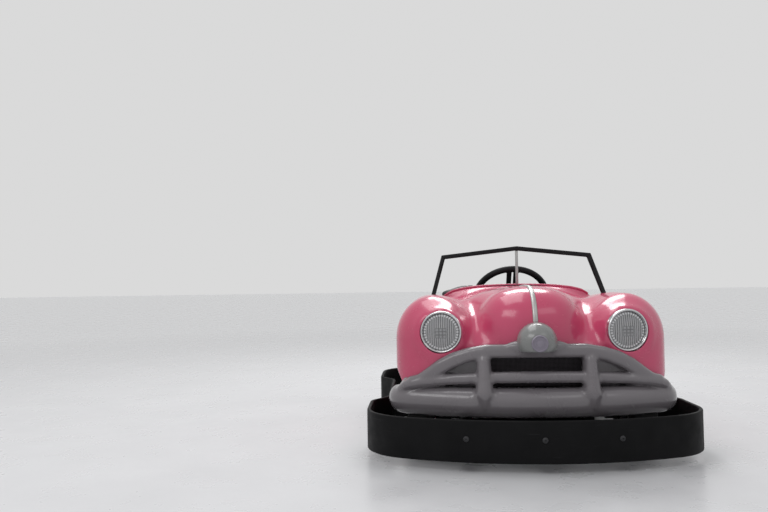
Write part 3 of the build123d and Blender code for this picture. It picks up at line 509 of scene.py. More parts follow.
materials = {
    "body_pink": gelcoat("pink_gelcoat", (0.56, 0.068, 0.150), (0.50, 0.054, 0.124), 0.22, 0.8),
    "moulding_grey": gelcoat("grey_gelcoat", (0.172, 0.158, 0.168), (0.148, 0.134, 0.144), 0.22),
    "dome_grey": gelcoat("dome_gelcoat", (0.212, 0.216, 0.211), (0.18, 0.184, 0.18), 0.24),
    "badge_grey": gelcoat("badge_gelcoat", (0.24, 0.215, 0.26), (0.19, 0.17, 0.215), 0.28),
    "plate_white": gelcoat("plate_gelcoat", (0.78, 0.78, 0.77), (0.70, 0.70, 0.69), 0.28),
    "ring_black": satin_plastic("ring_satin", (0.0030, 0.0030, 0.0034), 0.56, 0.3),
    "liner_black": satin_plastic("liner_plastic", (0.020, 0.020, 0.022), 0.6, 0.4),
    "trim_black": satin_plastic("trim_plastic", (0.015, 0.015, 0.017), 0.45),
    "battery_black": satin_plastic("battery_plastic", (0.04, 0.04, 0.045), 0.55),
    "mesh_black": satin_plastic("mesh_plastic", (0.055, 0.048, 0.054), 0.5),
    "wheel_black": satin_plastic("steering_plastic", (0.013, 0.013, 0.014), 0.38),
    "frame_black": painted_steel("frame_paint", (0.006, 0.006, 0.007), 0.45, 0.15),
    "rim_grey": painted_steel("rim_paint", (0.30, 0.30, 0.31), 0.36, 0.5),
    "strip_grey": bright_metal("strip_aluminium", (0.42, 0.42, 0.41), 0.38, (1, 0.1, 1), 220),
    "ring_chrome": bright_metal("lamp_chrome", (0.60, 0.60, 0.61), 0.14, (1, 1, 1), 90, 0.35),
    "reflector_silver": bright_metal("reflector_coat", (0.46, 0.46, 0.47), 0.28, (1, 1, 1), 120, 0.2),
    "bare_steel": bright_metal("turned_steel", (0.44, 0.44, 0.45), 0.34, (0.15, 1, 1), 300, 0.5),
    "pedal_steel": bright_metal("pedal_plate", (0.46, 0.46, 0.47), 0.36, (1, 1, 0.1), 260, 0.4),
    "cast_grey": cast_metal("cast_housing", (0.21, 0.21, 0.22), 0.55),
    "tyre_black": rubber("tyre_rubber", (0.020, 0.020, 0.020), 0.78),
    "vinyl_black": vinyl("seat_vinyl", (0.016, 0.016, 0.017), 0.42),
    "lamp_glass": pressed_glass("headlamp_glass"),
    "lamp_red": tinted_lens("tail_glass", (0.62, 0.012, 0.016), 0.12, 0.3, 0.35),
}
black_rubber = rubber("pad_rubber", (0.014, 0.014, 0.015), 0.6)
# Near-black finish for panels put where there is only shade: painted shade in the slots and behind the grille
# mesh
painted_shade_black = satin_plastic("painted_shade_black", (0.006, 0.006, 0.006), 0.7)
bolt_steel = bright_metal("bolt_steel", (0.30, 0.30, 0.31), 0.42, (1, 1, 1), 200, 0.6)
bolt_black = painted_steel("bolt_paint", (0.045, 0.045, 0.048), 0.45, 0.8)


# Body skin: one blended form through hood, fenders, valleys and deck
# Stations: Y, centre X, half width, top, crown
fender_run = np.array([
    (-0.455, 0.305, 0.122, 0.508, 0.136),
    (-0.340, 0.305, 0.118, 0.506, 0.128),
    (-0.170, 0.305, 0.105, 0.498, 0.105),
    (0.040, 0.305, 0.095, 0.476, 0.085),
    (0.250, 0.305, 0.105, 0.474, 0.085),
    (0.420, 0.307, 0.114, 0.470, 0.100),
    (0.565, 0.308, 0.118, 0.458, 0.112),
])
hood_run = np.array([
    (-0.455, 0.0, 0.165, 0.533, 0.145),
    (-0.380, 0.0, 0.182, 0.534, 0.128),
    (-0.300, 0.0, 0.200, 0.531, 0.106),
    (-0.250, 0.0, 0.212, 0.527, 0.090),
    (-0.214, 0.0, 0.226, 0.526, 0.074),
    (-0.190, 0.0, 0.243, 0.530, 0.058),
    (-0.170, 0.0, 0.262, 0.537, 0.046),
    (-0.090, 0.0, 0.262, 0.537, 0.046),
])
deck_run = np.array([
    (0.300, 0.0, 0.255, 0.486, 0.045),
    (0.385, 0.0, 0.255, 0.486, 0.045),
    (0.480, 0.0, 0.240, 0.480, 0.070),
    (0.570, 0.0, 0.222, 0.452, 0.095),
    (0.640, 0.0, 0.208, 0.408, 0.110),
    (0.690, 0.0, 0.198, 0.330, 0.090),
])
# Valley floors between hood and fenders: Y, height
front_valley = (
    (-0.572, 0.350), (-0.545, 0.385), (-0.500, 0.418), (-0.430, 0.440), (-0.330, 0.458), (-0.090, 0.484),
)
rear_valley = ((0.300, 0.455), (0.400, 0.446), (0.500, 0.405), (0.600, 0.330))
valley_half = 0.300
# Width of the fillet along the front valleys: Y, width
valley_fillet = ((-0.560, 0.034), (-0.360, 0.080), (-0.240, 0.060), (-0.185, 0.016))
deck_fillet, rear_fender_fillet = 0.070, 0.075
deck_edge_round = 0.030
# Powers that square the hood's plan and section; 2 is round
hood_plan, hood_section = 2.35, 2.5

body_bottom = 0.132
blank_bottom = body_bottom - 0.020
cowl_y, cockpit_rear = -0.170, 0.385
# The hood's form runs on into the cockpit's opening, where the front and rear forms part
hood_rear, form_split, deck_front, deck_rear = -0.090, 0.100, 0.300, 0.690
wall_thickness = 0.005

lamp_splay = math.radians(10)
lamp_centre = {side: Vector((side * 0.286, -0.583, 0.395)) for side in both_sides}
lamp_out = {side: Vector((side * math.sin(lamp_splay), -math.cos(lamp_splay), 0)) for side in both_sides}
housing_radius, lamp_hole_radius = 0.0705, 0.0657
housing_set_back, housing_depth, housing_round, housing_fillet = 0.010, 0.090, 0.008, 0.040

front_axle_y, rear_axle_y = -0.396, 0.430
# Wheel arches: Y, height, radius
wheel_arches = ((front_axle_y, 0.142, 0.158), (rear_axle_y, 0.150, 0.178))
arch_centre_x, arch_depth = 0.425, 0.200


def eased(stations, steps=160):
    """Stations joined by smooth curves, as a fine table."""
    along = stations[:, 0]
    slopes = np.gradient(stations, along, axis=0)
    fine = np.linspace(along[0], along[-1], steps)
    index = np.clip(np.searchsorted(along, fine) - 1, 0, len(along) - 2)
    width = along[index + 1] - along[index]
    t = ((fine - along[index]) / width)[:, None]
    one, two = stations[index], stations[index + 1]
    lift_one, lift_two = slopes[index] * width[:, None], slopes[index + 1] * width[:, None]
    start = one * (2 * t**3 - 3 * t**2 + 1) + lift_one * (t**3 - 2 * t**2 + t)
    return start + two * (3 * t**2 - 2 * t**3) + lift_two * (t**3 - t**2)


smooth_runs = {"hood": eased(hood_run), "fender": eased(fender_run), "deck": eased(deck_run)}


def arch_distance(points, name, side=1, plan=2.0, section=2.0):
    """Distance outside an arched run with posts at its ends; plan and section are its curves' powers."""
    x, y, z = points.T
    run = smooth_runs[name]
    along = np.clip(y, run[0, 0], run[-1, 0])
    centre, half, top, crown = (np.interp(along, run[:, 0], run[:, i]) for i in (1, 2, 3, 4))
    reach = (np.abs(x - side * centre) ** plan + np.abs(y - along) ** plan) ** (1 / plan)
    rise = np.maximum(z - (top - crown), 0)
    near = ((reach / half) ** section + (rise / crown) ** section) ** (1 / section)
    across = (reach / half) ** (section - 1) / half
    slope = np.hypot(across, (rise / crown) ** (section - 1) / crown) + 1e-6
    return np.maximum(near, 1e-3) ** (section - 1) * (near - 1) / slope


def valley_distance(points, line):
    """Distance outside a valley floor that follows a line of (Y, height)."""
    x, y, z = points.T
    along, height = np.array(line).T
    level = np.interp(y, along, height)
    slope = (np.interp(y + 0.01, along, height) - np.interp(y - 0.01, along, height)) / 0.02
    over = (z - level) / np.hypot(1, slope)
    ends = np.maximum(along[0] - y, y - along[-1])
    return np.maximum(np.maximum(over, ends), np.abs(x) - valley_half)


def joined(one, two, blend):
    """Soft union of two distances; blend is the width of the fillet."""
    mix = np.maximum(blend - np.abs(one - two), 0) / blend
    return np.minimum(one, two) - mix * mix * blend / 4


def rounded_off(one, two, blend):
    """Soft intersection of two distances."""
    return -joined(-one, -two, blend)


def housing_distance(points, side):
    """Distance outside a lamp housing."""
    offset = points - np.array(lamp_centre[side])
    depth = offset @ np.array(lamp_out[side])
    radial = np.linalg.norm(offset - np.outer(depth, np.array(lamp_out[side])), axis=1)
    ends = np.maximum(depth + housing_set_back, -housing_depth - depth)
    return rounded_off(radial - housing_radius, ends, housing_round)


def body_distance(points):
    """Distance outside the whole body form."""
    y = points[:, 1]
    fillet = np.interp(y, *np.array(valley_fillet).T)
    front = np.maximum(arch_distance(points, "hood", 1, hood_plan, hood_section), y - hood_rear)
    front = joined(front, valley_distance(points, front_valley), fillet)
    for side in both_sides:
        front = joined(front, arch_distance(points, "fender", side), fillet)
        front = joined(front, housing_distance(points, side), housing_fillet)
    deck = rounded_off(arch_distance(points, "deck"), y - deck_rear, deck_edge_round)
    rear = joined(np.maximum(deck, deck_front - y), valley_distance(points, rear_valley), deck_fillet)
    for side in both_sides:
        rear = joined(rear, arch_distance(points, "fender", side), rear_fender_fillet)
    return np.where(y < form_split, front, rear)


def arch_blank(bm, run, side):
    """Rough closed arch through a run's stations."""
    rings = []
    for y, centre, half, top, crown in run:
        ring = bmesh.ops.create_circle(bm, cap_ends=True, segments=40, radius=1)["verts"]
        for vert in ring:
            across, up = vert.co.x, vert.co.y
            height = top - crown + crown * up if up >= 0 else blank_bottom
            vert.co = (side * centre + half * across, y, height)
        rings.append(ring)
    walled(bm, rings)


def post_blank(bm, station, side):
    """Rough domed post."""
    y, centre, half, top, crown = station
    ellipsoid(bm, (side * centre, y, top - crown), (half, half, crown), 40, 20)
    height = top - crown - blank_bottom
    drum(bm, half, height, 40, Matrix.Translation((side * centre, y, blank_bottom + height / 2)))


def body_blank():
    """Closed blank that the skin is drawn round."""
    bm = bmesh.new()
    arch_blank(bm, hood_run, 1)
    post_blank(bm, hood_run[0], 1)
    arch_blank(bm, deck_run, 1)
    for side in both_sides:
        arch_blank(bm, fender_run, side)
        post_blank(bm, fender_run[0], side)
        post_blank(bm, fender_run[-1], side)
        place = axis_frame(lamp_centre[side] - lamp_out[side] * 0.05, lamp_out[side])
        drum(bm, housing_radius, 0.08, 40, place)
    for line in (front_valley, rear_valley):
        for (y0, z0), (y1, z1) in zip(line, line[1:]):
            half = valley_half - 0.002
            slab = block(bm, (-half, y0 - 0.002, blank_bottom), (half, y1 + 0.002, z0))
            for vert in slab:
                if vert.co.z > blank_bottom + 0.01 and vert.co.y > (y0 + y1) / 2:
                    vert.co.z = z1
    return bm


def settled(bm, distance, rounds=5):
    """Moves a skin's vertices onto a distance form, evening them out between."""
    nudge_length, longest_move = 0.0005, 0.012
    for step in range(rounds):
        if step < rounds - 1:
            smoothed(bm, bm.verts, 2)
        points = np.array([v.co for v in bm.verts])
        for _ in range(3):
            value = distance(points)
            slope = np.empty_like(points)
            for axis in range(3):
                nudge = np.zeros(3)
                nudge[axis] = nudge_length
                slope[:, axis] = (distance(points + nudge) - distance(points - nudge)) / (2 * nudge_length)
            length = np.sum(slope * slope, axis=1) + 1e-4
            move = slope * (value / length)[:, None]
            reach = np.linalg.norm(move, axis=1)
            move *= np.minimum(1, longest_move / np.maximum(reach, 1e-9))[:, None]
            points = points - move
        for vert, point in zip(bm.verts, points):
            if vert.co.z > body_bottom - 0.012:
                vert.co = point


def body_cutters():
    """Everything that is open in the body: cockpit, wheel arches, lamp holes, grille and the underside."""
    bm = bmesh.new()
    block(bm, (-0.3, cowl_y, 0.05), (0.3, cockpit_rear, 0.8))
    for at_rear, corner, segments in ((True, 0.06, 8), (False, 0.03, 6)):
        posts = [
            e for e in bm.edges
            if abs(e.verts[0].co.z - e.verts[1].co.z) > 0.5 and (e.verts[0].co.y > 0) == at_rear
        ]
        rounded(bm, posts, corner, segments)
    for y, z, radius in wheel_arches:
        for side in both_sides:
            drum(bm, radius, arch_depth, 96, axis_frame((side * arch_centre_x, y, z), (side, 0, 0)))
    for side in both_sides:
        place = axis_frame(lamp_centre[side] - lamp_out[side] * 0.04, lamp_out[side])
        drum(bm, lamp_hole_radius, 0.12, 64, place)
    grille_low, grille_high = (-0.147, -0.66, 0.215), (0.147, -0.52, 0.328)
    block(bm, grille_low, grille_high)
    block(bm, (-0.6, -0.9, 0.0), (0.6, 0.9, body_bottom))
    toe_low, toe_high = (-0.58, -0.88, 0.01), (0.58, -0.500, 0.152)
    block(bm, toe_low, toe_high)
    return bm


def cut_open(skin, cutters):
    """Cuts the openings out of a closed skin and leaves it open there."""
    body = placed("body_blank", skin)
    tools = placed("body_cutters", cutters)
    keep = bpy.data.materials.new("kept_skin")
    drop = bpy.data.materials.new("cut_skin")
    body.data.materials.append(keep)
    tools.data.materials.append(drop)
    cut = body.modifiers.new("Openings", "BOOLEAN")
    cut.operation = "DIFFERENCE"
    cut.solver = "EXACT"
    cut.use_self = True
    cut.material_mode = "TRANSFER"
    cut.object = tools
    bm = evaluated(body)
    dropped = [f for f in bm.faces if f.material_index == 1]
    bmesh.ops.delete(bm, geom=dropped, context="FACES")
    discard(body, tools)
    for material in (keep, drop):
        bpy.data.materials.remove(material)
    return bm


def body_piece():
    """Skin of front, sides and rear; returns a tree to lay things on it and the points along its edges."""
    skin = remeshed(body_blank(), 0.008)
    settled(skin, body_distance)
    smoothed(skin, skin.verts, 8)
    skin = cut_open(skin, body_cutters())
    bmesh.ops.remove_doubles(skin, verts=skin.verts, dist=0.0002)
    bmesh.ops.dissolve_degenerate(skin, edges=skin.edges, dist=0.0002)
    tree = BVHTree.FromBMesh(skin)
    edge_points = [v.co.copy() for v in skin.verts if v.is_boundary]
    obj = piece("body_skin", skin, "chassis", "body_pink", 40)
    wall = obj.modifiers.new("Fibreglass wall", "SOLIDIFY")
    wall.thickness = wall_thickness
    wall.offset = -1
    lip = obj.modifiers.new("Rounded lips", "BEVEL")
    lip.width = 0.0012
    lip.segments = 2
    lip.limit_method = "ANGLE"
    lip.angle_limit = math.radians(62)
    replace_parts(obj, "front_body", "side_panels", "rear_body")
    return tree, edge_points


skin_tree, skin_edge = body_piece()


# Grille and bumper moulding: the CAD form with its recesses closed and every crease softened
# Upper band that the recesses run up to: X, height
upper_band = np.array([
    (0.139, 0.339), (0.205, 0.327), (0.252, 0.310), (0.296, 0.286), (0.330, 0.262), (0.358, 0.250),
    (0.420, 0.246),
])
# Middle bar outboard of the guards and the lip it runs out to: X, Y, height, radius
lip_run = (
    (0.195, -0.6180, 0.2568, 0.0150), (0.250, -0.6060, 0.2530, 0.0152), (0.300, -0.5970, 0.2490, 0.0156),
    (0.345, -0.5860, 0.2440, 0.0158), (0.375, -0.5750, 0.2380, 0.0156), (0.396, -0.5620, 0.2300, 0.0152),
    (0.409, -0.5440, 0.2180, 0.0150), (0.412, -0.5200, 0.2020, 0.0150),
)
guard_x, recess_inner, bar_end_x = 0.159, 0.150, 0.385


def recess_panel(bm, side, outer, low, stand_off, across, up):
    """Thin closed panel that follows the body between a level and the upper band."""
    panel_depth, rearmost = 0.0060, -0.50
    fronts, backs = [], []
    for i in range(across + 1):
        x = recess_inner + (outer - recess_inner) * i / across
        top = float(np.interp(x, upper_band[:, 0], upper_band[:, 1]))
        front, back = [], []
        for j in range(up + 1):
            z = low + (top - low) * j / up
            hit = skin_tree.ray_cast(Vector((side * x, -0.9, z)), Vector((0, 1, 0)), 0.6)[0]
            y = min(hit.y if hit else rearmost, rearmost)
            front.append(bm.verts.new((side * x, y - stand_off, z)))
            back.append(bm.verts.new((side * x, y + panel_depth, z)))
        fronts.append(front)
        backs.append(back)
    for i in range(across):
        for j in range(up):
            bm.faces.new((fronts[i][j], fronts[i + 1][j], fronts[i + 1][j + 1], fronts[i][j + 1]))
            bm.faces.new((backs[i][j], backs[i][j + 1], backs[i + 1][j + 1], backs[i + 1][j]))
    rims = []
    for sheet in (fronts, backs):
        rim = [sheet[i][0] for i in range(across + 1)] + [sheet[across][j] for j in range(1, up + 1)]
        rim += [sheet[i][up] for i in range(across - 1, -1, -1)] + [sheet[0][j] for j in range(up - 1, 0, -1)]
        rims.append(rim)
    for i in range(len(rims[0])):
        j = (i + 1) % len(rims[0])
        bm.faces.new((rims[0][i], rims[1][i], rims[1][j], rims[0][j]))


def moulding_blank():
    """CAD form with grey crescent recesses, the outer lips and the flare round the nose dome."""
    bm = cad_copy("grille_bumper")
    # The ends of the upper bars are drawn in, so that the lips carry the outline
    drawn_from, drawn_rise, drawn_share = 0.221, 0.012, 0.65
    for vert in bm.verts:
        share = min(1.0, max(0.0, (vert.co.z - drawn_from) / drawn_rise))
        over = abs(vert.co.x) - bar_end_x
        if over > 0:
            vert.co.x -= math.copysign(over * drawn_share * share, vert.co.x)
    for side in both_sides:
        recess_panel(bm, side, 0.380, 0.240, 0.0045, 30, 16)
        swept(bm, [(side * x, y, z) for x, y, z, _ in lip_run], [r for *_, r in lip_run], 20)
    ellipsoid(bm, (0, -0.630, 0.350), (0.098, 0.027, 0.025), 48, 24)
    return bm


def moulding_piece():
    """The softened moulding, with its guard feet and lip ends melted in further."""
    bm = remeshed(moulding_blank(), 0.0030)
    smoothed(bm, bm.verts, 12)
    foot_reach, foot_low, foot_high, foot_rear = 0.046, 0.150, 0.262, -0.610
    lip_end_low, skin_growth = 0.185, 0.0012
    guard_feet = [
        v for v in bm.verts
        if abs(abs(v.co.x) - guard_x) < foot_reach and foot_low < v.co.z < foot_high and v.co.y < foot_rear
    ]
    lip_ends = [v for v in bm.verts if abs(v.co.x) > bar_end_x and v.co.z > lip_end_low]
    smoothed(bm, guard_feet, 26)
    smoothed(bm, lip_ends, 14)
    bm.normal_update()
    for vert in bm.verts:
        vert.co += vert.normal * skin_growth
    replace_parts(piece("grille_moulding", bm, "chassis", "moulding_grey", 50), "grille_bumper")


def cowl_bead():
    """Rolled bead along the hood's rear edge."""
    lowest, half_width, point_gap = 0.470, 0.262, 0.006
    edge = [
        p for p in skin_edge if abs(p.y - cowl_y) < 0.0008 and p.z > lowest and abs(p.x) < half_width
    ]
    edge.sort(key=lambda p: p.x)
    path = [edge[0]]
    for point in edge[1:]:
        if (point - path[-1]).length > point_gap:
            path.append(point)
    path = [Vector((p.x, cowl_y - 0.0015, p.z + 0.0008)) for p in path]
    radius = [0.0046 if 2 < i < len(path) - 3 else 0.0034 for i in range(len(path))]
    bm = bmesh.new()
    swept(bm, path, radius, 12)
    piece("cowl_bead", bm, "chassis", "body_pink", 60)


def slot_painted_shades():
    """Black panels at the backs of the slots between the middle bar and the lower roll, painting the shade
    that falls there.
    """
    bm = bmesh.new()
    for side in both_sides:
        # Painted shade: these panels stand in for the shadow inside the slots
        recess_panel(bm, side, 0.384, 0.186, 0.0020, 24, 10)
    piece("slot_painted_shades", bm, "chassis", "mesh_black", 40, painted_shade_black)


moulding_piece()
cowl_bead()
slot_painted_shades()


# Headlamps
lens_radius, lens_back = 0.0566, -0.0130


def lamp_matrix(side):
    """Frame of a lamp: local X level, Y up, Z out of the glass."""
    level = Vector((math.cos(lamp_splay), side * math.sin(lamp_splay), 0))
    turn = Matrix((level, Vector((0, 0, 1)), lamp_out[side])).transposed().to_4x4()
    return Matrix.Translation(lamp_centre[side]) @ turn


def lens_relief(x, y):
    """Height of the pressed glass pattern at a point of the lens, and how much painted highlight it gets
    there.
    """
    rim_inner, toothed_inner, teeth = 0.0550, 0.0478, 19
    window_half, window_low, window_top = 0.0170, -0.0190, 0.0120
    cell_width, cell_height, flute_pitch = 0.01133, 0.01033, 0.0068
    r = math.hypot(x, y)
    dome = -0.0095 + 0.0088 * (1 - (r / lens_radius) ** 2)
    # The second value of each return is the share of painted highlight at that point
    if r > rim_inner:
        return dome - 0.0006, 0.2
    if r > toothed_inner:
        tooth = abs(math.cos(teeth * math.atan2(y, x)))
        return dome + 0.0010 * tooth, 0.25 + 0.75 * tooth
    if abs(x) < window_half and window_low < y < window_top:
        columns = abs(math.sin(math.pi * (x + window_half) / cell_width))
        rows = abs(math.sin(math.pi * (y - window_low) / cell_height))
        cell = min(columns, rows) ** 0.5
        return dome + 0.0008 * cell - 0.0005, 0.05 + 0.45 * cell
    flute = abs(math.sin(math.pi * x / flute_pitch))
    return dome + 0.0007 * flute, 0.06 + 0.56 * flute


def lens_piece():
    """Both fluted lamp glasses as closed solids."""
    bm = bmesh.new()
    # Share of painted highlight on the glass at each vertex
    painted_glint = bm.verts.layers.float.new("painted_glint")
    rings, around = 50, 252
    for side in both_sides:
        loops = []
        for i in range(1, rings + 1):
            loop = circle(bm, around, lens_radius * i / rings)
            for vert in loop:
                vert.co.z, vert[painted_glint] = lens_relief(vert.co.x, vert.co.y)
            loops.append(loop)
        back = circle(bm, around, lens_radius)
        for vert in back:
            vert.co.z = lens_back
        loops.append(back)
        height, bright = lens_relief(0, 0)
        middle = bm.verts.new((0, 0, height))
        middle[painted_glint] = bright
        rear = bm.verts.new((0, 0, lens_back))
        lens_closed(bm, loops, middle, rear)
        moved(bm, [v for loop in loops for v in loop] + [middle, rear], lamp_matrix(side))
    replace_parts(piece("headlamp_glass", bm, "chassis", "lamp_glass", 60), "headlamp_lenses")


def bezel_piece():
    """Rolled chrome rims with a stepped inner lip and a clamp screw."""
    bm = bmesh.new()
    profile = [
        (0.0655, -0.0300), (0.0655, -0.0075), (0.0650, -0.0040), (0.0638, -0.0014), (0.0620, 0.0000),
        (0.0600, -0.0004), (0.0584, -0.0020), (0.0576, -0.0044), (0.0574, -0.0062), (0.0566, -0.0068),
        (0.0566, -0.0088), (0.0586, -0.0100), (0.0610, -0.0120), (0.0618, -0.0300),
    ]
    for side in both_sides:
        place = lamp_matrix(side)
        turned(bm, profile, place, steps=96)
        screw = place @ Vector((0, -0.0640, -0.012))
        dome_bolt(bm, screw, place.to_3x3() @ Vector((0, -1, 0.2)), 0.0032)
    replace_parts(piece("headlamp_bezels", bm, "chassis", "ring_chrome", 50), "headlamp_rings")


def reflector_piece():
    """Parabolic bowls with a bulb and its shield on three stays."""
    bm = bmesh.new()
    shares = (0, 0.15, 0.3, 0.45, 0.6, 0.75, 0.9, 1.0)
    inner = [(0.0060 + 0.0500 * t, -0.0462 + 0.0322 * t * t) for t in shares]
    outer = [(r + 0.0006, h - 0.0012) for r, h in reversed(inner)]
    shield = [(0.0001, -0.0230), (0.0070, -0.0236), (0.0090, -0.0255), (0.0090, -0.0275), (0.0001, -0.0265)]
    bulb = [
        (0.0001, -0.0280), (0.0040, -0.0290), (0.0052, -0.0330), (0.0046, -0.0400), (0.0060, -0.0470),
        (0.0001, -0.0470),
    ]
    for side in both_sides:
        place = lamp_matrix(side)
        turned(bm, inner + outer, place, steps=64)
        turned(bm, shield, place, steps=32)
        turned(bm, bulb, place, steps=24)
        for stay in range(3):
            angle = math.radians(90 + 120 * stay)
            path = [around_axis(place, 0.0085, angle, -0.0268), around_axis(place, 0.0200, angle, -0.0420)]
            swept(bm, path, 0.0006, 6)
    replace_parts(piece("headlamp_bowls", bm, "chassis", "reflector_silver", 50), "headlamp_reflectors")


lens_piece()
bezel_piece()
reflector_piece()


# Nose dome, blank badge and hood strip
def badge_piece():
    """Round blank badge: raised rim, ribbed dished field and a plain raised middle."""
    bm = bmesh.new()
    low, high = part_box("nose_badge")
    place = axis_frame(((low.x + high.x) / 2, low.y, (low.z + high.z) / 2), (0, -1, 0))
    profile = [
        (0.0001, 0.0006), (0.0090, 0.0006), (0.0100, 0.0002), (0.0104, -0.0006), (0.0180, -0.0008),
        (0.0196, -0.0006), (0.0204, 0.0008), (0.0222, 0.0014), (0.0240, 0.0006), (0.0250, -0.0012),
        (0.0250, -0.0040), (0.0001, -0.0040),
    ]
    turned(bm, profile, place, steps=72)
    ribs = 24
    for index in range(ribs):
        angle = on_circle(index, ribs)
        path = [around_axis(place, 0.0116, angle, -0.0007), around_axis(place, 0.0176, angle, -0.0008)]
        swept(bm, path, 0.0007, 6)
    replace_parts(piece("badge_disc", bm, "chassis", "badge_grey", 40), "nose_badge")


def strip_piece():
    """Half-round moulding laid along the hood's crown by rays from inside the hood."""
    bm = bmesh.new()
    centre = Vector((0, -0.36, 0.38))
    strip_end_y, first_angle, sweep = -0.212, 170, 123
    half_width, taper, height = 0.0080, 0.0014, 0.0046
    count = 90
    rows = []
    for step in range(count + 1):
        share = step / count
        angle = math.radians(first_angle - share * sweep)
        aim = Vector((0, math.cos(angle), math.sin(angle)))
        hit, normal, _, _ = skin_tree.ray_cast(centre, aim, 0.5)
        if hit is None or hit.y > strip_end_y:
            break
        if normal.dot(aim) < 0:
            normal = -normal
        half = half_width - taper * share
        row = []
        for turn in range(9):
            t = math.pi * turn / 8
            rise = height * math.sin(t) ** 0.75 - 0.0004
            start = centre + Vector((half * math.cos(t), 0, 0))
            side_hit = skin_tree.ray_cast(start, aim, 0.5)[0] or hit
            row.append(bm.verts.new(side_hit + normal * rise))
        row.append(bm.verts.new(hit - normal * 0.003))
        rows.append(row)
    walled(bm, rows)
    bm.faces.new(rows[0])
    bm.faces.new(list(reversed(rows[-1])))
    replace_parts(piece("hood_moulding", bm, "chassis", "strip_grey", 50), "hood_strip")


relaxed(cad_copy("nose_dome"), "nose_dome", "nose_dome_cap", "chassis", "dome_grey", 0.0018, 8, 0.0004)
badge_piece()
strip_piece()


# Perforated grille mesh
def mesh_piece():
    """Punched sheet: square pitch holes through a thin dark plate, with a black panel behind it that paints
    the shade inside the grille.
    """
    low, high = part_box("grille_mesh")
    bm = bmesh.new()
    across, up, web = 76, 25, 0.00085
    bmesh.ops.create_grid(bm, x_segments=across, y_segments=up, size=0.5)
    place = Matrix.Translation(((low.x + high.x) / 2, low.y + 0.0004, (low.z + high.z) / 2))
    place = place @ Matrix.Rotation(math.radians(90), 4, "X")
    moved(bm, bm.verts, place @ Matrix.Diagonal((high.x - low.x, high.z - low.z, 1, 1)))
    faces = list(bm.faces)
    bmesh.ops.inset_individual(bm, faces=faces, thickness=web)
    holes = [f for f in faces if f.is_valid]
    bmesh.ops.delete(bm, geom=holes, context="FACES")
    obj = piece("punched_mesh", bm, "chassis", "mesh_black", 40)
    depth = obj.modifiers.new("Sheet", "SOLIDIFY")
    depth.thickness = 0.0012
    depth.offset = 0
    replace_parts(obj, "grille_mesh")
    # Black panel behind the mesh: painted shade where the grille's inside lies in shadow
    shade_panel = bmesh.new()
    block(shade_panel, (low.x, high.y + 0.012, low.z - 0.004), (high.x, high.y + 0.014, high.z + 0.004))
    rounded(shade_panel, shade_panel.edges, 0.0006, 1)
    piece("grille_painted_shade", shade_panel, "chassis", "mesh_black", 35, painted_shade_black)


mesh_piece()


# Bumper ring with its bolts
ring_half_length, ring_side_x, ring_bolt_z = 0.750, 0.4648, 0.097
ring_front_radius, ring_rear_radius = 1.050, 2.200
ring_bolt_x, ring_bolt_y, ring_bolt_radius = 0.222, 0.120, 0.0085


def ring_front_y(x):
    """Y of the ring's bowed front face."""
    return -ring_half_length + ring_front_radius - math.sqrt(ring_front_radius**2 - x**2)


def ring_rear_y(x):
    """Y of the ring's bowed rear face."""
    return ring_half_length - ring_rear_radius + math.sqrt(ring_rear_radius**2 - x**2)


def ring_bolts():
    """Button heads round the ring: three in front, two behind and two on each side."""
    bm = bmesh.new()
    for x in (-ring_bolt_x, 0.0, ring_bolt_x):
        point = (x, ring_front_y(x) + 0.0002, ring_bolt_z)
        dome_bolt(bm, point, (x / ring_front_radius, -1, 0), ring_bolt_radius)
    for x in (-ring_bolt_x, ring_bolt_x):
        point = (x, ring_rear_y(x) - 0.0002, ring_bolt_z)
        dome_bolt(bm, point, (x / ring_rear_radius, 1, 0), ring_bolt_radius)
    for side in both_sides:
        for y in (-ring_bolt_y, ring_bolt_y):
            dome_bolt(bm, (side * ring_side_x, y, ring_bolt_z), (side, 0, 0), ring_bolt_radius)
    piece("ring_bolts", bm, "chassis", "ring_black", 40, bolt_black)


ring_bolts()
softened("bumper_ring", "chassis", "ring_black", 0.0035, 3, 40, 50)


# Windscreen frame and post
softened("windscreen_frame", "chassis", "frame_black", 0.0032, 3, 30, 50)
softened("windscreen_post", "chassis", "strip_grey", 0.0028, 3, 30, 50)


# Steering wheel
def steering_wheel_piece():
    """Thick moulded rim with paired spokes, and a capped hub with three screws."""
    lean = math.radians(38)
    hub = Vector((0, -0.005, 0.491))
    up_column = Vector((0, math.cos(lean), math.sin(lean)))
    up_wheel = Vector((0, -math.sin(lean), math.cos(lean)))
    place = axis_frame(hub, up_column)
    spoke_x, spoke_radius = 0.0125, 0.0088
    blank = cad_copy("steering_wheel")
    for sign in both_sides:
        for x in (-spoke_x, spoke_x):
            start = Vector((x, hub.y, hub.z)) - up_column * 0.013 + up_wheel * sign * 0.020
            swept(blank, [start, start + up_wheel * sign * 0.105 + up_column * 0.010], spoke_radius, 16)
    relaxed(blank, "steering_wheel", "moulded_wheel", "steering", "wheel_black", 0.0022, 5, 0.0011)
    bm = bmesh.new()
    profile = [
        (0.0001, 0.0075), (0.0120, 0.0072), (0.0200, 0.0060), (0.0245, 0.0035), (0.0262, 0.0000),
        (0.0262, -0.0030), (0.0001, -0.0030),
    ]
    turned(bm, profile, place, steps=64)
    for index in range(3):
        angle = on_circle(index, 3, math.pi / 2)
        dome_bolt(bm, around_axis(place, 0.0275, angle, 0.0008), up_column, 0.0022)
    piece("hub_cap", bm, "steering", "trim_black", 40)


steering_wheel_piece()


# Tyres and rims
def wheel_body(end, side):
    """Body that a wheel's pieces ride on."""
    return "rear_wheels" if end == "rear" else f"front_wheel_{side}"


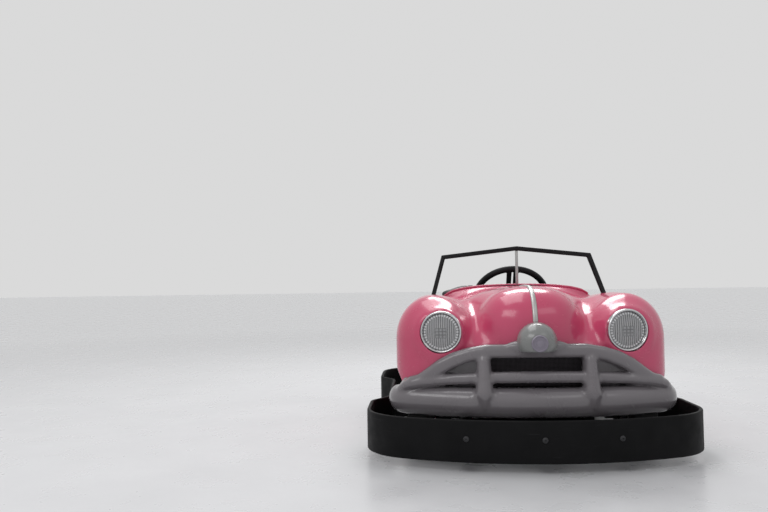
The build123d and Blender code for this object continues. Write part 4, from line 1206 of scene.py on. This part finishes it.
def tyre_piece(node, body):
    """Pneumatic kart tyre: round shoulders, two ribs, cross sipes and a beaded side wall."""
    low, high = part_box(node)
    centre = (low + high) / 2
    # Half section from a bead to the middle of the tread: X, radius
    profile = [
        (-0.0350, 0.0600), (-0.0368, 0.0625), (-0.0372, 0.0660), (-0.0392, 0.0690), (-0.0402, 0.0730),
        (-0.0398, 0.0750), (-0.0415, 0.0790), (-0.0424, 0.0860), (-0.0425, 0.0930), (-0.0420, 0.1010),
        (-0.0414, 0.1045), (-0.0418, 0.1060), (-0.0400, 0.1120), (-0.0374, 0.1185), (-0.0336, 0.1235),
        (-0.0286, 0.1266), (-0.0226, 0.1286), (-0.0206, 0.1290), (-0.0200, 0.1262), (-0.0172, 0.1262),
        (-0.0166, 0.1294), (-0.0100, 0.1299), (-0.0040, 0.1300),
    ]
    profile = profile + [(-x, r) for x, r in reversed(profile)] + [(0.0330, 0.0590), (-0.0330, 0.0590)]
    tread_radius, rib_inner, rib_outer = 0.1225, 0.0166, 0.0205
    shoulder_cut, middle_cut = 0.0026, 0.0016
    steps, pitch = 180, 9
    bm = bmesh.new()
    loops = []
    for x, r in profile:
        ring = circle(bm, steps, r)
        for index, vert in enumerate(ring):
            cut = 0.0
            if r > tread_radius:
                phase = (index + (4 if x > 0 else 0) + round(abs(x) * 150)) % pitch
                if phase in (0, 1) and abs(x) > rib_outer:
                    cut = shoulder_cut
                if abs(x) < rib_inner and phase == 4:
                    cut = middle_cut
            angle = on_circle(index, steps)
            reach = r - cut
            vert.co = (centre.x + x, centre.y + reach * math.cos(angle), centre.z + reach * math.sin(angle))
        loops.append(ring)
    walled(bm, loops + loops[:1])
    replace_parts(piece(node + "_treaded", bm, body, "tyre_black", 30), node)


def wheel_hardware(node, body):
    """Valve, rim bolts and hub nut of one wheel."""
    low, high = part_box(node)
    centre = (low + high) / 2
    side = 1 if centre.x > 0 else -1
    bolt_circle, rim_face, valve_radius = 0.0400, 0.0078, 0.0520
    bm = bmesh.new()
    for index in range(5):
        angle = math.radians(72 * index + 36)
        y = centre.y + bolt_circle * math.cos(angle)
        z = centre.z + bolt_circle * math.sin(angle)
        hex_bolt(bm, (centre.x + side * rim_face, y, z), (side, 0, 0), 0.0052, 0.005, 0.0075)
    valve = Vector((centre.x + side * 0.0140, centre.y, centre.z - valve_radius))
    cap_start, cap_end = valve + Vector((side * 0.016, 0, 0.003)), valve + Vector((side * 0.023, 0, 0.0043))
    swept(bm, [valve, cap_start], [0.0028, 0.0024], 12)
    swept(bm, [cap_start, cap_end], 0.0034, 12)
    reach = abs(centre.x) + 0.0310
    hex_bolt(bm, (side * reach, centre.y, centre.z), (side, 0, 0), 0.0125, 0.011, 0.0170)
    piece(node + "_hardware", bm, body, "bare_steel", 40, bolt_steel)


for end in ("front", "rear"):
    for side_name in ("left", "right"):
        body = wheel_body(end, side_name)
        tyre_piece(f"{end}_tyre_{side_name}", body)
        softened(f"{end}_rim_{side_name}", body, "rim_grey", 0.0012, 2, 28, 40)
        wheel_hardware(f"{end}_rim_{side_name}", body)


# Seat and folded top: padded pieces
pad_voxel, pad_pressure, pad_corner = 0.0065, 3.5, 0.020
channel_width, channel_depth = 0.010, 0.0065


def inflated(bm, cap, held_there):
    """Cloth blown out a little from a blank, with how far a point may move capped."""
    blank = remeshed(bm, pad_voxel)
    rest = [v.co.copy() for v in blank.verts]
    obj = placed("pad_blank", blank)
    held = obj.vertex_groups.new(name="held")
    for index, point in enumerate(rest):
        if held_there(point):
            held.add([index], 1.0, "REPLACE")
    cloth = obj.modifiers.new("Cloth", "CLOTH")
    settings = cloth.settings
    settings.quality = 5
    settings.mass = 0.35
    settings.tension_stiffness = 12
    settings.compression_stiffness = 12
    settings.shear_stiffness = 4
    settings.bending_stiffness = 0.6
    settings.use_pressure = True
    settings.uniform_pressure_force = pad_pressure
    settings.vertex_group_mass = "held"
    settings.effector_weights.gravity = 0
    scene = bpy.context.scene
    scene.frame_start, scene.frame_end = 1, 20
    cloth.point_cache.frame_start, cloth.point_cache.frame_end = 1, 20
    for step in range(1, 21):
        scene.frame_set(step)
    made = evaluated(obj)
    discard(obj)
    scene.frame_set(1)
    for vert, start in zip(made.verts, rest):
        shift = vert.co - start
        if shift.length > cap:
            vert.co = start + shift.normalized() * cap
    return made


def pad_between(low, high, cap, held_there):
    """Rounded pad between two corners, blown out where it isn't held."""
    bm = bmesh.new()
    block(bm, low, high)
    rounded(bm, bm.edges, pad_corner, 4)
    bmesh.ops.subdivide_edges(bm, edges=bm.edges, cuts=1, use_grid_fill=True)
    return inflated(bm, cap, held_there)


def channelled(bm, lines, facing):
    """Refines a pad and presses sewn channels into it at lines of X, as far as a point faces that way."""
    bmesh.ops.subdivide_edges(bm, edges=bm.edges, cuts=1, use_grid_fill=True, smooth=0.6)
    bm.normal_update()
    for vert in bm.verts:
        weight = facing(vert)
        if weight <= 0:
            continue
        for line in lines:
            gap = abs(vert.co.x - line)
            if gap < channel_width:
                depth = channel_depth * weight
                vert.co += -vert.normal * depth * (1 + math.cos(math.pi * gap / channel_width)) / 2


def cushion_piece():
    """Seat cushion with six sewn channels, flat where it rests on the seat base."""
    low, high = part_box("seat_cushion")
    margin = Vector((0.009, 0.007, 0.006))
    pad = pad_between(low + margin, high - margin, 0.010, lambda p: p.z < low.z + 0.010)
    pad.normal_update()
    lines = [low.x + (high.x - low.x) * (i + 1) / 7 for i in range(6)]
    channelled(pad, lines, lambda v: max(0.0, v.normal.z))
    for vert in pad.verts:
        vert.co.z = max(vert.co.z, low.z)
    obj = piece("cushion_cover", pad, "chassis", "vinyl_black", 70)
    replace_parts(obj, "seat_cushion")


def seat_back_piece():
    """Leaning seat back with six sewn channels, held along its rear face."""
    lean, channel_pitch = math.radians(12), 0.0805
    low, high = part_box("seat_back")
    middle = (low + high) / 2
    turn = Matrix.Translation(middle) @ Matrix.Rotation(-lean, 4, "X") @ Matrix.Translation(-middle)
    half = Vector((0.282 - 0.009, 0.030 - 0.006, 0.1175 - 0.008))
    pad = pad_between(middle - half, middle + half, 0.009, lambda p: p.y > middle.y + half.y - 0.004)
    lines = [middle.x + (i - 2.5) * channel_pitch for i in range(6)]
    channelled(pad, lines, lambda v: max(0.0, -v.normal.y))
    moved(pad, pad.verts, turn)
    obj = piece("back_cover", pad, "chassis", "vinyl_black", 70)
    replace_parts(obj, "seat_back")


strap_x, strap_half_width = 0.125, 0.009
strap_places = (-strap_x, strap_x)
# Height of the roll's middle over its seat; its narrow ends sink toward the seat by the same measure
roll_radius, end_round, sag = 0.0252, 0.026, 0.026


def roll_radius_at(x, angle, narrow, round_end):
    """Radius of the rolled cloth: pinched at the straps, with folds and the step of the roll's end."""
    pinch = sum(0.0026 * math.exp(-((x - place) / 0.012) ** 2) for place in strap_places)
    past_strap = abs(abs(x) - strap_x)
    folds = 0.0009 * math.sin(5 * angle + 26 * x) * math.sin(31 * x + 1.3)
    folds += 0.0007 * math.sin(3 * angle - 57 * x + 0.5)
    folds += 0.0010 * math.cos(past_strap * 240) * math.exp(-past_strap / 0.02) * math.sin(9 * angle)
    spiral = 0.0016 * ((angle / (2 * math.pi) + 0.32) % 1.0)
    return (roll_radius - pinch + folds - spiral) * max(round_end, 0.06) * narrow


def folded_top_piece():
    """Rolled cloth top: soft roll that narrows to its ends, pinched by two buckled straps."""
    low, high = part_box("folded_top")
    middle_y, middle_z = (low.y + high.y) / 2, low.z + sag
    count, around = 150, 56
    taper_start, taper_length, taper_share = 0.145, 0.106, 0.42
    bm = bmesh.new()
    rows = []
    for step in range(count + 1):
        x = low.x + 0.001 + (high.x - low.x - 0.002) * (step / count)
        from_end = min(x - low.x, high.x - x)
        round_end = math.sqrt(max(0.0, 1 - max(0.0, 1 - from_end / end_round) ** 2))
        outward = min(1.0, max(0.0, (abs(x) - taper_start) / taper_length))
        narrow = 1 - taper_share * outward * outward * (3 - 2 * outward)
        ring = circle(bm, around)
        for index, vert in enumerate(ring):
            angle = on_circle(index, around)
            reach = roll_radius_at(x, angle, narrow, round_end)
            height = middle_z - sag * (1 - narrow) + reach * math.sin(angle)
            vert.co = (x, middle_y + reach * math.cos(angle), height)
        rows.append(ring)
    walled(bm, rows)
    bm.faces.new(list(reversed(rows[0])))
    bm.faces.new(rows[-1])
    obj = piece("rolled_top", bm, "chassis", "vinyl_black", 60)
    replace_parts(obj, "folded_top")
    strap_piece(middle_y, middle_z)


def strap_piece(middle_y, middle_z):
    """Two flat straps round the roll, each with a pair of buckle bars."""
    bm = bmesh.new()
    inner, outer, buckle_reach = 0.0238, 0.0256, 0.0270
    steps = 48
    section = (
        (-strap_half_width, inner), (-strap_half_width, outer),
        (strap_half_width, outer), (strap_half_width, inner),
    )
    for x in strap_places:
        loops = []
        for index in range(steps):
            angle = on_circle(index, steps)
            loops.append([
                bm.verts.new((x + across, middle_y + r * math.cos(angle), middle_z + r * math.sin(angle)))
                for across, r in section
            ])
        walled(bm, loops + loops[:1])
        for angle in (math.radians(150), math.radians(128)):
            place = Vector((
                x, middle_y + buckle_reach * math.cos(angle), middle_z + buckle_reach * math.sin(angle)
            ))
            swept(bm, [place - Vector((0.012, 0, 0)), place + Vector((0.012, 0, 0))], 0.0016, 8)
    piece("top_straps", bm, "chassis", "vinyl_black", 40, black_rubber)


cushion_piece()
seat_back_piece()
folded_top_piece()


# Cockpit
# CAD nodes that get rounded edges: node, slot, width, segments
cockpit_parts = (
    ("cockpit_liner", "liner_black", 0.0012, 2),
    ("floor_pan", "liner_black", 0.0008, 1),
    ("dash_panel", "trim_black", 0.0012, 2),
    ("seat_base", "liner_black", 0.0020, 2),
    ("battery_pack", "battery_black", 0.0040, 3),
    ("pedals", "pedal_steel", 0.0010, 2),
)
for node, slot, width, segments in cockpit_parts:
    softened(node, "chassis", slot, width, segments, 35, 40)


def floor_mat():
    """Ribbed rubber mat in the leg space."""
    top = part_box("floor_pan")[1].z
    mat_half, rib_start, rib_pitch, rib_width = 0.215, -0.207, 0.0118, 0.0058
    bm = bmesh.new()
    block(bm, (-mat_half, -0.285, top), (mat_half, 0.005, top + 0.003))
    for index in range(36):
        x = rib_start + index * rib_pitch
        block(bm, (x, -0.280, top + 0.0028), (x + rib_width, 0.0, top + 0.0050))
    rounded(bm, bm.edges, 0.0006, 1)
    piece("floor_mat", bm, "chassis", "liner_black", 30, black_rubber)


def pedal_pads():
    """Ribbed rubber pads on both pedal plates."""
    plate_rear = -0.335 + 0.066
    pad_half, rib_half, first_rib, rib_pitch = 0.0365, 0.032, 0.196, 0.0105
    bm = bmesh.new()
    for x in (-0.110, 0.110):
        block(bm, (x - pad_half, plate_rear - 0.0075, 0.189), (x + pad_half, plate_rear + 0.004, 0.281))
        for index in range(8):
            z = first_rib + index * rib_pitch
            block(bm, (x - rib_half, plate_rear + 0.0035, z), (x + rib_half, plate_rear + 0.0068, z + 0.0050))
    rounded(bm, bm.edges, 0.0012, 2)
    piece("pedal_pads", bm, "chassis", "pedal_steel", 40, black_rubber)


def liner_rivets():
    """Rivets along the liner's side walls and its rear wall."""
    wall_x, rear_wall_y, level, radius = 0.2958, 0.3738, 0.430, 0.0045
    bm = bmesh.new()
    for y in (-0.10, 0.02, 0.14, 0.26, 0.34):
        for side in both_sides:
            dome_bolt(bm, (side * wall_x, y, level), (-side, 0, 0), radius)
    for x in (-0.22, -0.11, 0.0, 0.11, 0.22):
        dome_bolt(bm, (x, rear_wall_y, level), (0, -1, 0), radius)
    piece("liner_rivets", bm, "chassis", "bare_steel", 40, bolt_steel)


def cockpit_flange():
    """Flange that closes the gap between the liner's top and the body at the sides and the rear."""
    low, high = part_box("cockpit_liner")
    level, front = high.z - 0.010, -0.205
    reach, inside, thickness = 0.030, 0.004, 0.003
    plates = (
        ((low.x - reach, front), (low.x + inside, high.y + reach)),
        ((high.x - inside, front), (high.x + reach, high.y + reach)),
        ((low.x + inside, high.y - inside), (high.x - inside, high.y + reach)),
    )
    bm = bmesh.new()
    for corner, far in plates:
        block(bm, (*corner, level), (*far, level + thickness))
    rounded(bm, bm.edges, 0.0008, 2)
    piece("cockpit_flange", bm, "chassis", "trim_black", 30)


floor_mat()
pedal_pads()
liner_rivets()
cockpit_flange()


# Running gear and frame
# CAD nodes that get rounded edges: node, slot, body, width
running_gear = (
    ("axle_bearings", "cast_grey", "chassis", 0.0020),
    ("chassis_frame", "frame_black", "chassis", 0.0025),
    ("column_bearings", "frame_black", "chassis", 0.0012),
    ("deck_handle", "frame_black", "chassis", 0.0015),
    ("drive_unit", "cast_grey", "chassis", 0.0025),
    ("front_axle_beam", "frame_black", "chassis", 0.0015),
    ("rear_axle", "bare_steel", "rear_wheels", 0.0010),
    ("ring_mounts", "frame_black", "chassis", 0.0020),
    ("steering_column", "bare_steel", "steering", 0.0010),
    ("knuckle_left", "bare_steel", "knuckle_left", 0.0010),
    ("knuckle_right", "bare_steel", "knuckle_right", 0.0010),
    ("tie_rod_left", "bare_steel", "tie_rod_left", 0.0008),
    ("tie_rod_right", "bare_steel", "tie_rod_right", 0.0008),
)
for node, slot, body, width in running_gear:
    softened(node, body, slot, width, 2, 32, 40)


def gear_details():
    """Motor fins, case bolts and bearing bolts."""
    motor_y, motor_z = 0.542, 0.162
    fin_start, fin_pitch, case_end_x, case_bolt_circle = -0.045, 0.014, 0.0952, 0.036
    fin = [(0.0470, -0.002), (0.0505, -0.0015), (0.0505, 0.0015), (0.0470, 0.002)]
    bm = bmesh.new()
    for index in range(9):
        turned(bm, fin, axis_frame((fin_start + index * fin_pitch, motor_y, motor_z), (1, 0, 0)), steps=48)
    for index in range(6):
        angle = math.radians(60 * index + 30)
        y, z = motor_y + case_bolt_circle * math.cos(angle), motor_z + case_bolt_circle * math.sin(angle)
        hex_bolt(bm, (case_end_x, y, z), (1, 0, 0), 0.0040, 0.004, 0.0058)
    piece("motor_fins", bm, "chassis", "cast_grey", 35)
    bolts = bmesh.new()
    for side in both_sides:
        for y in (rear_axle_y - 0.020, rear_axle_y + 0.020):
            hex_bolt(bolts, (side * 0.2145, y, 0.104), (side, 0, 0), 0.0045, 0.004, 0.0065)
    piece("bearing_bolts", bolts, "chassis", "bare_steel", 35, bolt_steel)


gear_details()


# Tail lamps and blank rear panel
def tail_lamp_piece():
    """Oval ribbed lenses in a dark rubber rim."""
    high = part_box("tail_lamps")[1]
    half_x, half_z, bulge, lens_rear = 0.0275, 0.0475, 0.0085, -0.006
    rings, around = 20, 96
    # Rim section: distance outside the lens, depth
    section = [(0.0, 0.0022), (0.0014, 0.0030), (0.0030, 0.0016), (0.0034, -0.0200), (0.0, -0.0200)]
    lens, rims = bmesh.new(), bmesh.new()
    for side in both_sides:
        centre = Vector((side * 0.308, high.y - bulge, 0.253))
        loops = []
        for i in range(1, rings + 1):
            share = i / rings
            loop = circle(lens, around, share)
            for vert in loop:
                x, z = vert.co.x * half_x, vert.co.y * half_z
                ribs = 0.0009 * abs(math.sin(math.pi * z / 0.0062)) if share < 0.86 else 0.0
                vert.co = centre + Vector((x, bulge * (1 - share**3.2) + ribs, z))
            loops.append(loop)
        back = circle(lens, around)
        for vert in back:
            vert.co = centre + Vector((vert.co.x * half_x, lens_rear, vert.co.y * half_z))
        loops.append(back)
        middle = lens.verts.new(centre + Vector((0, bulge, 0)))
        rear = lens.verts.new(centre + Vector((0, lens_rear, 0)))
        lens_closed(lens, loops, middle, rear)
        ovals = []
        for grow, depth in section:
            ring = circle(rims, around)
            for vert in ring:
                vert.co = centre + Vector((vert.co.x * (half_x + grow), depth, vert.co.y * (half_z + grow)))
            ovals.append(ring)
        walled(rims, ovals + ovals[:1])
    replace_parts(piece("tail_lenses", lens, "chassis", "lamp_red", 45), "tail_lamps")
    piece("tail_lamp_rims", rims, "chassis", "trim_black", 40, black_rubber)


tail_lamp_piece()
softened("rear_plate", "chassis", "plate_white", 0.0015, 2, 40, 50)


# Camera, floor, world and lamps
def photo_camera():
    """Camera at the photo's angle."""
    photo_width, focal_pixels, sensor = 768, 747, 36
    stand = (-0.348, -2.9, 0.540)
    yaw, pitch, roll = math.radians(2.7), math.radians(2.3), -0.0144
    forward = Vector((-math.sin(yaw) * math.cos(pitch), math.cos(yaw) * math.cos(pitch), math.sin(pitch)))
    level = Vector((math.cos(yaw), math.sin(yaw), 0))
    right = level * math.cos(roll) + level.cross(forward) * math.sin(roll)
    up = right.cross(forward)
    data = bpy.data.cameras.new("photo_camera")
    data.lens = focal_pixels / photo_width * sensor
    data.sensor_width = sensor
    data.clip_end = 100
    camera = bpy.data.objects.new("photo_camera", data)
    turn = Matrix((right, up, -forward)).transposed().to_4x4()
    camera.matrix_world = Matrix.Translation(stand) @ turn
    bpy.context.scene.collection.objects.link(camera)
    bpy.context.scene.camera = camera


def studio_floor():
    """Pale coated floor, painted paler with distance from the kart so that it fades into the background."""
    bm = bmesh.new()
    bmesh.ops.create_grid(bm, x_segments=1, y_segments=1, size=60)
    floor = placed("floor", bm)
    f = Finish("floor_coating")
    coat = f.mixed(f.ranged(f.noise(2.5, 4, 0.6), 0.3, 0.7), (0.66, 0.66, 0.67), (0.61, 0.61, 0.62))
    away = f.node("ShaderNodeVectorMath")
    away.operation = "LENGTH"
    f.link(f.coords, away.inputs[0])
    # Painted light: away from the kart the floor's colour ramps up to near white, standing in for the
    # brightly lit distance
    f.colour(f.mixed(f.ranged(away.outputs["Value"], 1.2, 7.0), coat, (0.96, 0.96, 0.96)))
    f.roughness(f.ranged(f.noise(7, 4, 0.6), 0.3, 0.7, 0.24, 0.36))
    f.bump(f.noise(24, 3, 0.5), 0.02, 0.0006)
    floor.data.materials.append(f.material)


def studio_world():
    """Soft white light from all round, seen as pale grey by the camera, in gloss and through glass."""
    world = bpy.data.worlds.new("studio")
    bpy.context.scene.world = world
    world.use_nodes = True
    tree = world.node_tree
    tree.nodes.clear()
    output = tree.nodes.new("ShaderNodeOutputWorld")
    mix = tree.nodes.new("ShaderNodeMixShader")
    path = tree.nodes.new("ShaderNodeLightPath")
    shown = path.outputs["Is Camera Ray"]
    for kind in ("Is Glossy Ray", "Is Transmission Ray"):
        either = tree.nodes.new("ShaderNodeMath")
        either.operation = "MAXIMUM"
        tree.links.new(shown, either.inputs[0])
        tree.links.new(path.outputs[kind], either.inputs[1])
        shown = either.outputs["Value"]
    tree.links.new(shown, mix.inputs[0])
    lit, seen = ((0.97, 0.98, 1.0, 1), 0.60), ((0.70, 0.70, 0.70, 1), 1.0)
    for socket, (colour, strength) in ((mix.inputs[1], lit), (mix.inputs[2], seen)):
        background = tree.nodes.new("ShaderNodeBackground")
        background.inputs["Color"].default_value = colour
        background.inputs["Strength"].default_value = strength
        tree.links.new(background.outputs[0], socket)
    tree.links.new(mix.outputs[0], output.inputs["Surface"])


def studio_lamps():
    """Soft panels aimed at the kart: name, place, span, power."""
    panels = (
        ("panel_front_left", (-2.2, -2.6, 2.7), (2.2, 1.2), 25),
        ("panel_front_right", (1.5, -2.6, 2.7), (2.0, 1.0), 7),
        ("panel_over", (-0.7, 0.1, 2.9), (2.2, 1.4), 25),
        ("panel_rear", (0.2, 2.0, 3.0), (1.8, 1.0), 44),
    )
    for name, place, span, power in panels:
        data = bpy.data.lights.new(name, "AREA")
        data.shape = "RECTANGLE"
        data.size, data.size_y = span
        data.energy = power
        lamp = bpy.data.objects.new(name, data)
        aim = Vector((0, 0, 0.3)) - Vector(place)
        lamp.matrix_world = Matrix.Translation(place) @ aim.to_track_quat("-Z", "Y").to_matrix().to_4x4()
        bpy.context.scene.collection.objects.link(lamp)


photo_camera()
studio_floor()
studio_world()
studio_lamps()
bpy.context.scene.view_settings.view_transform = "Standard"
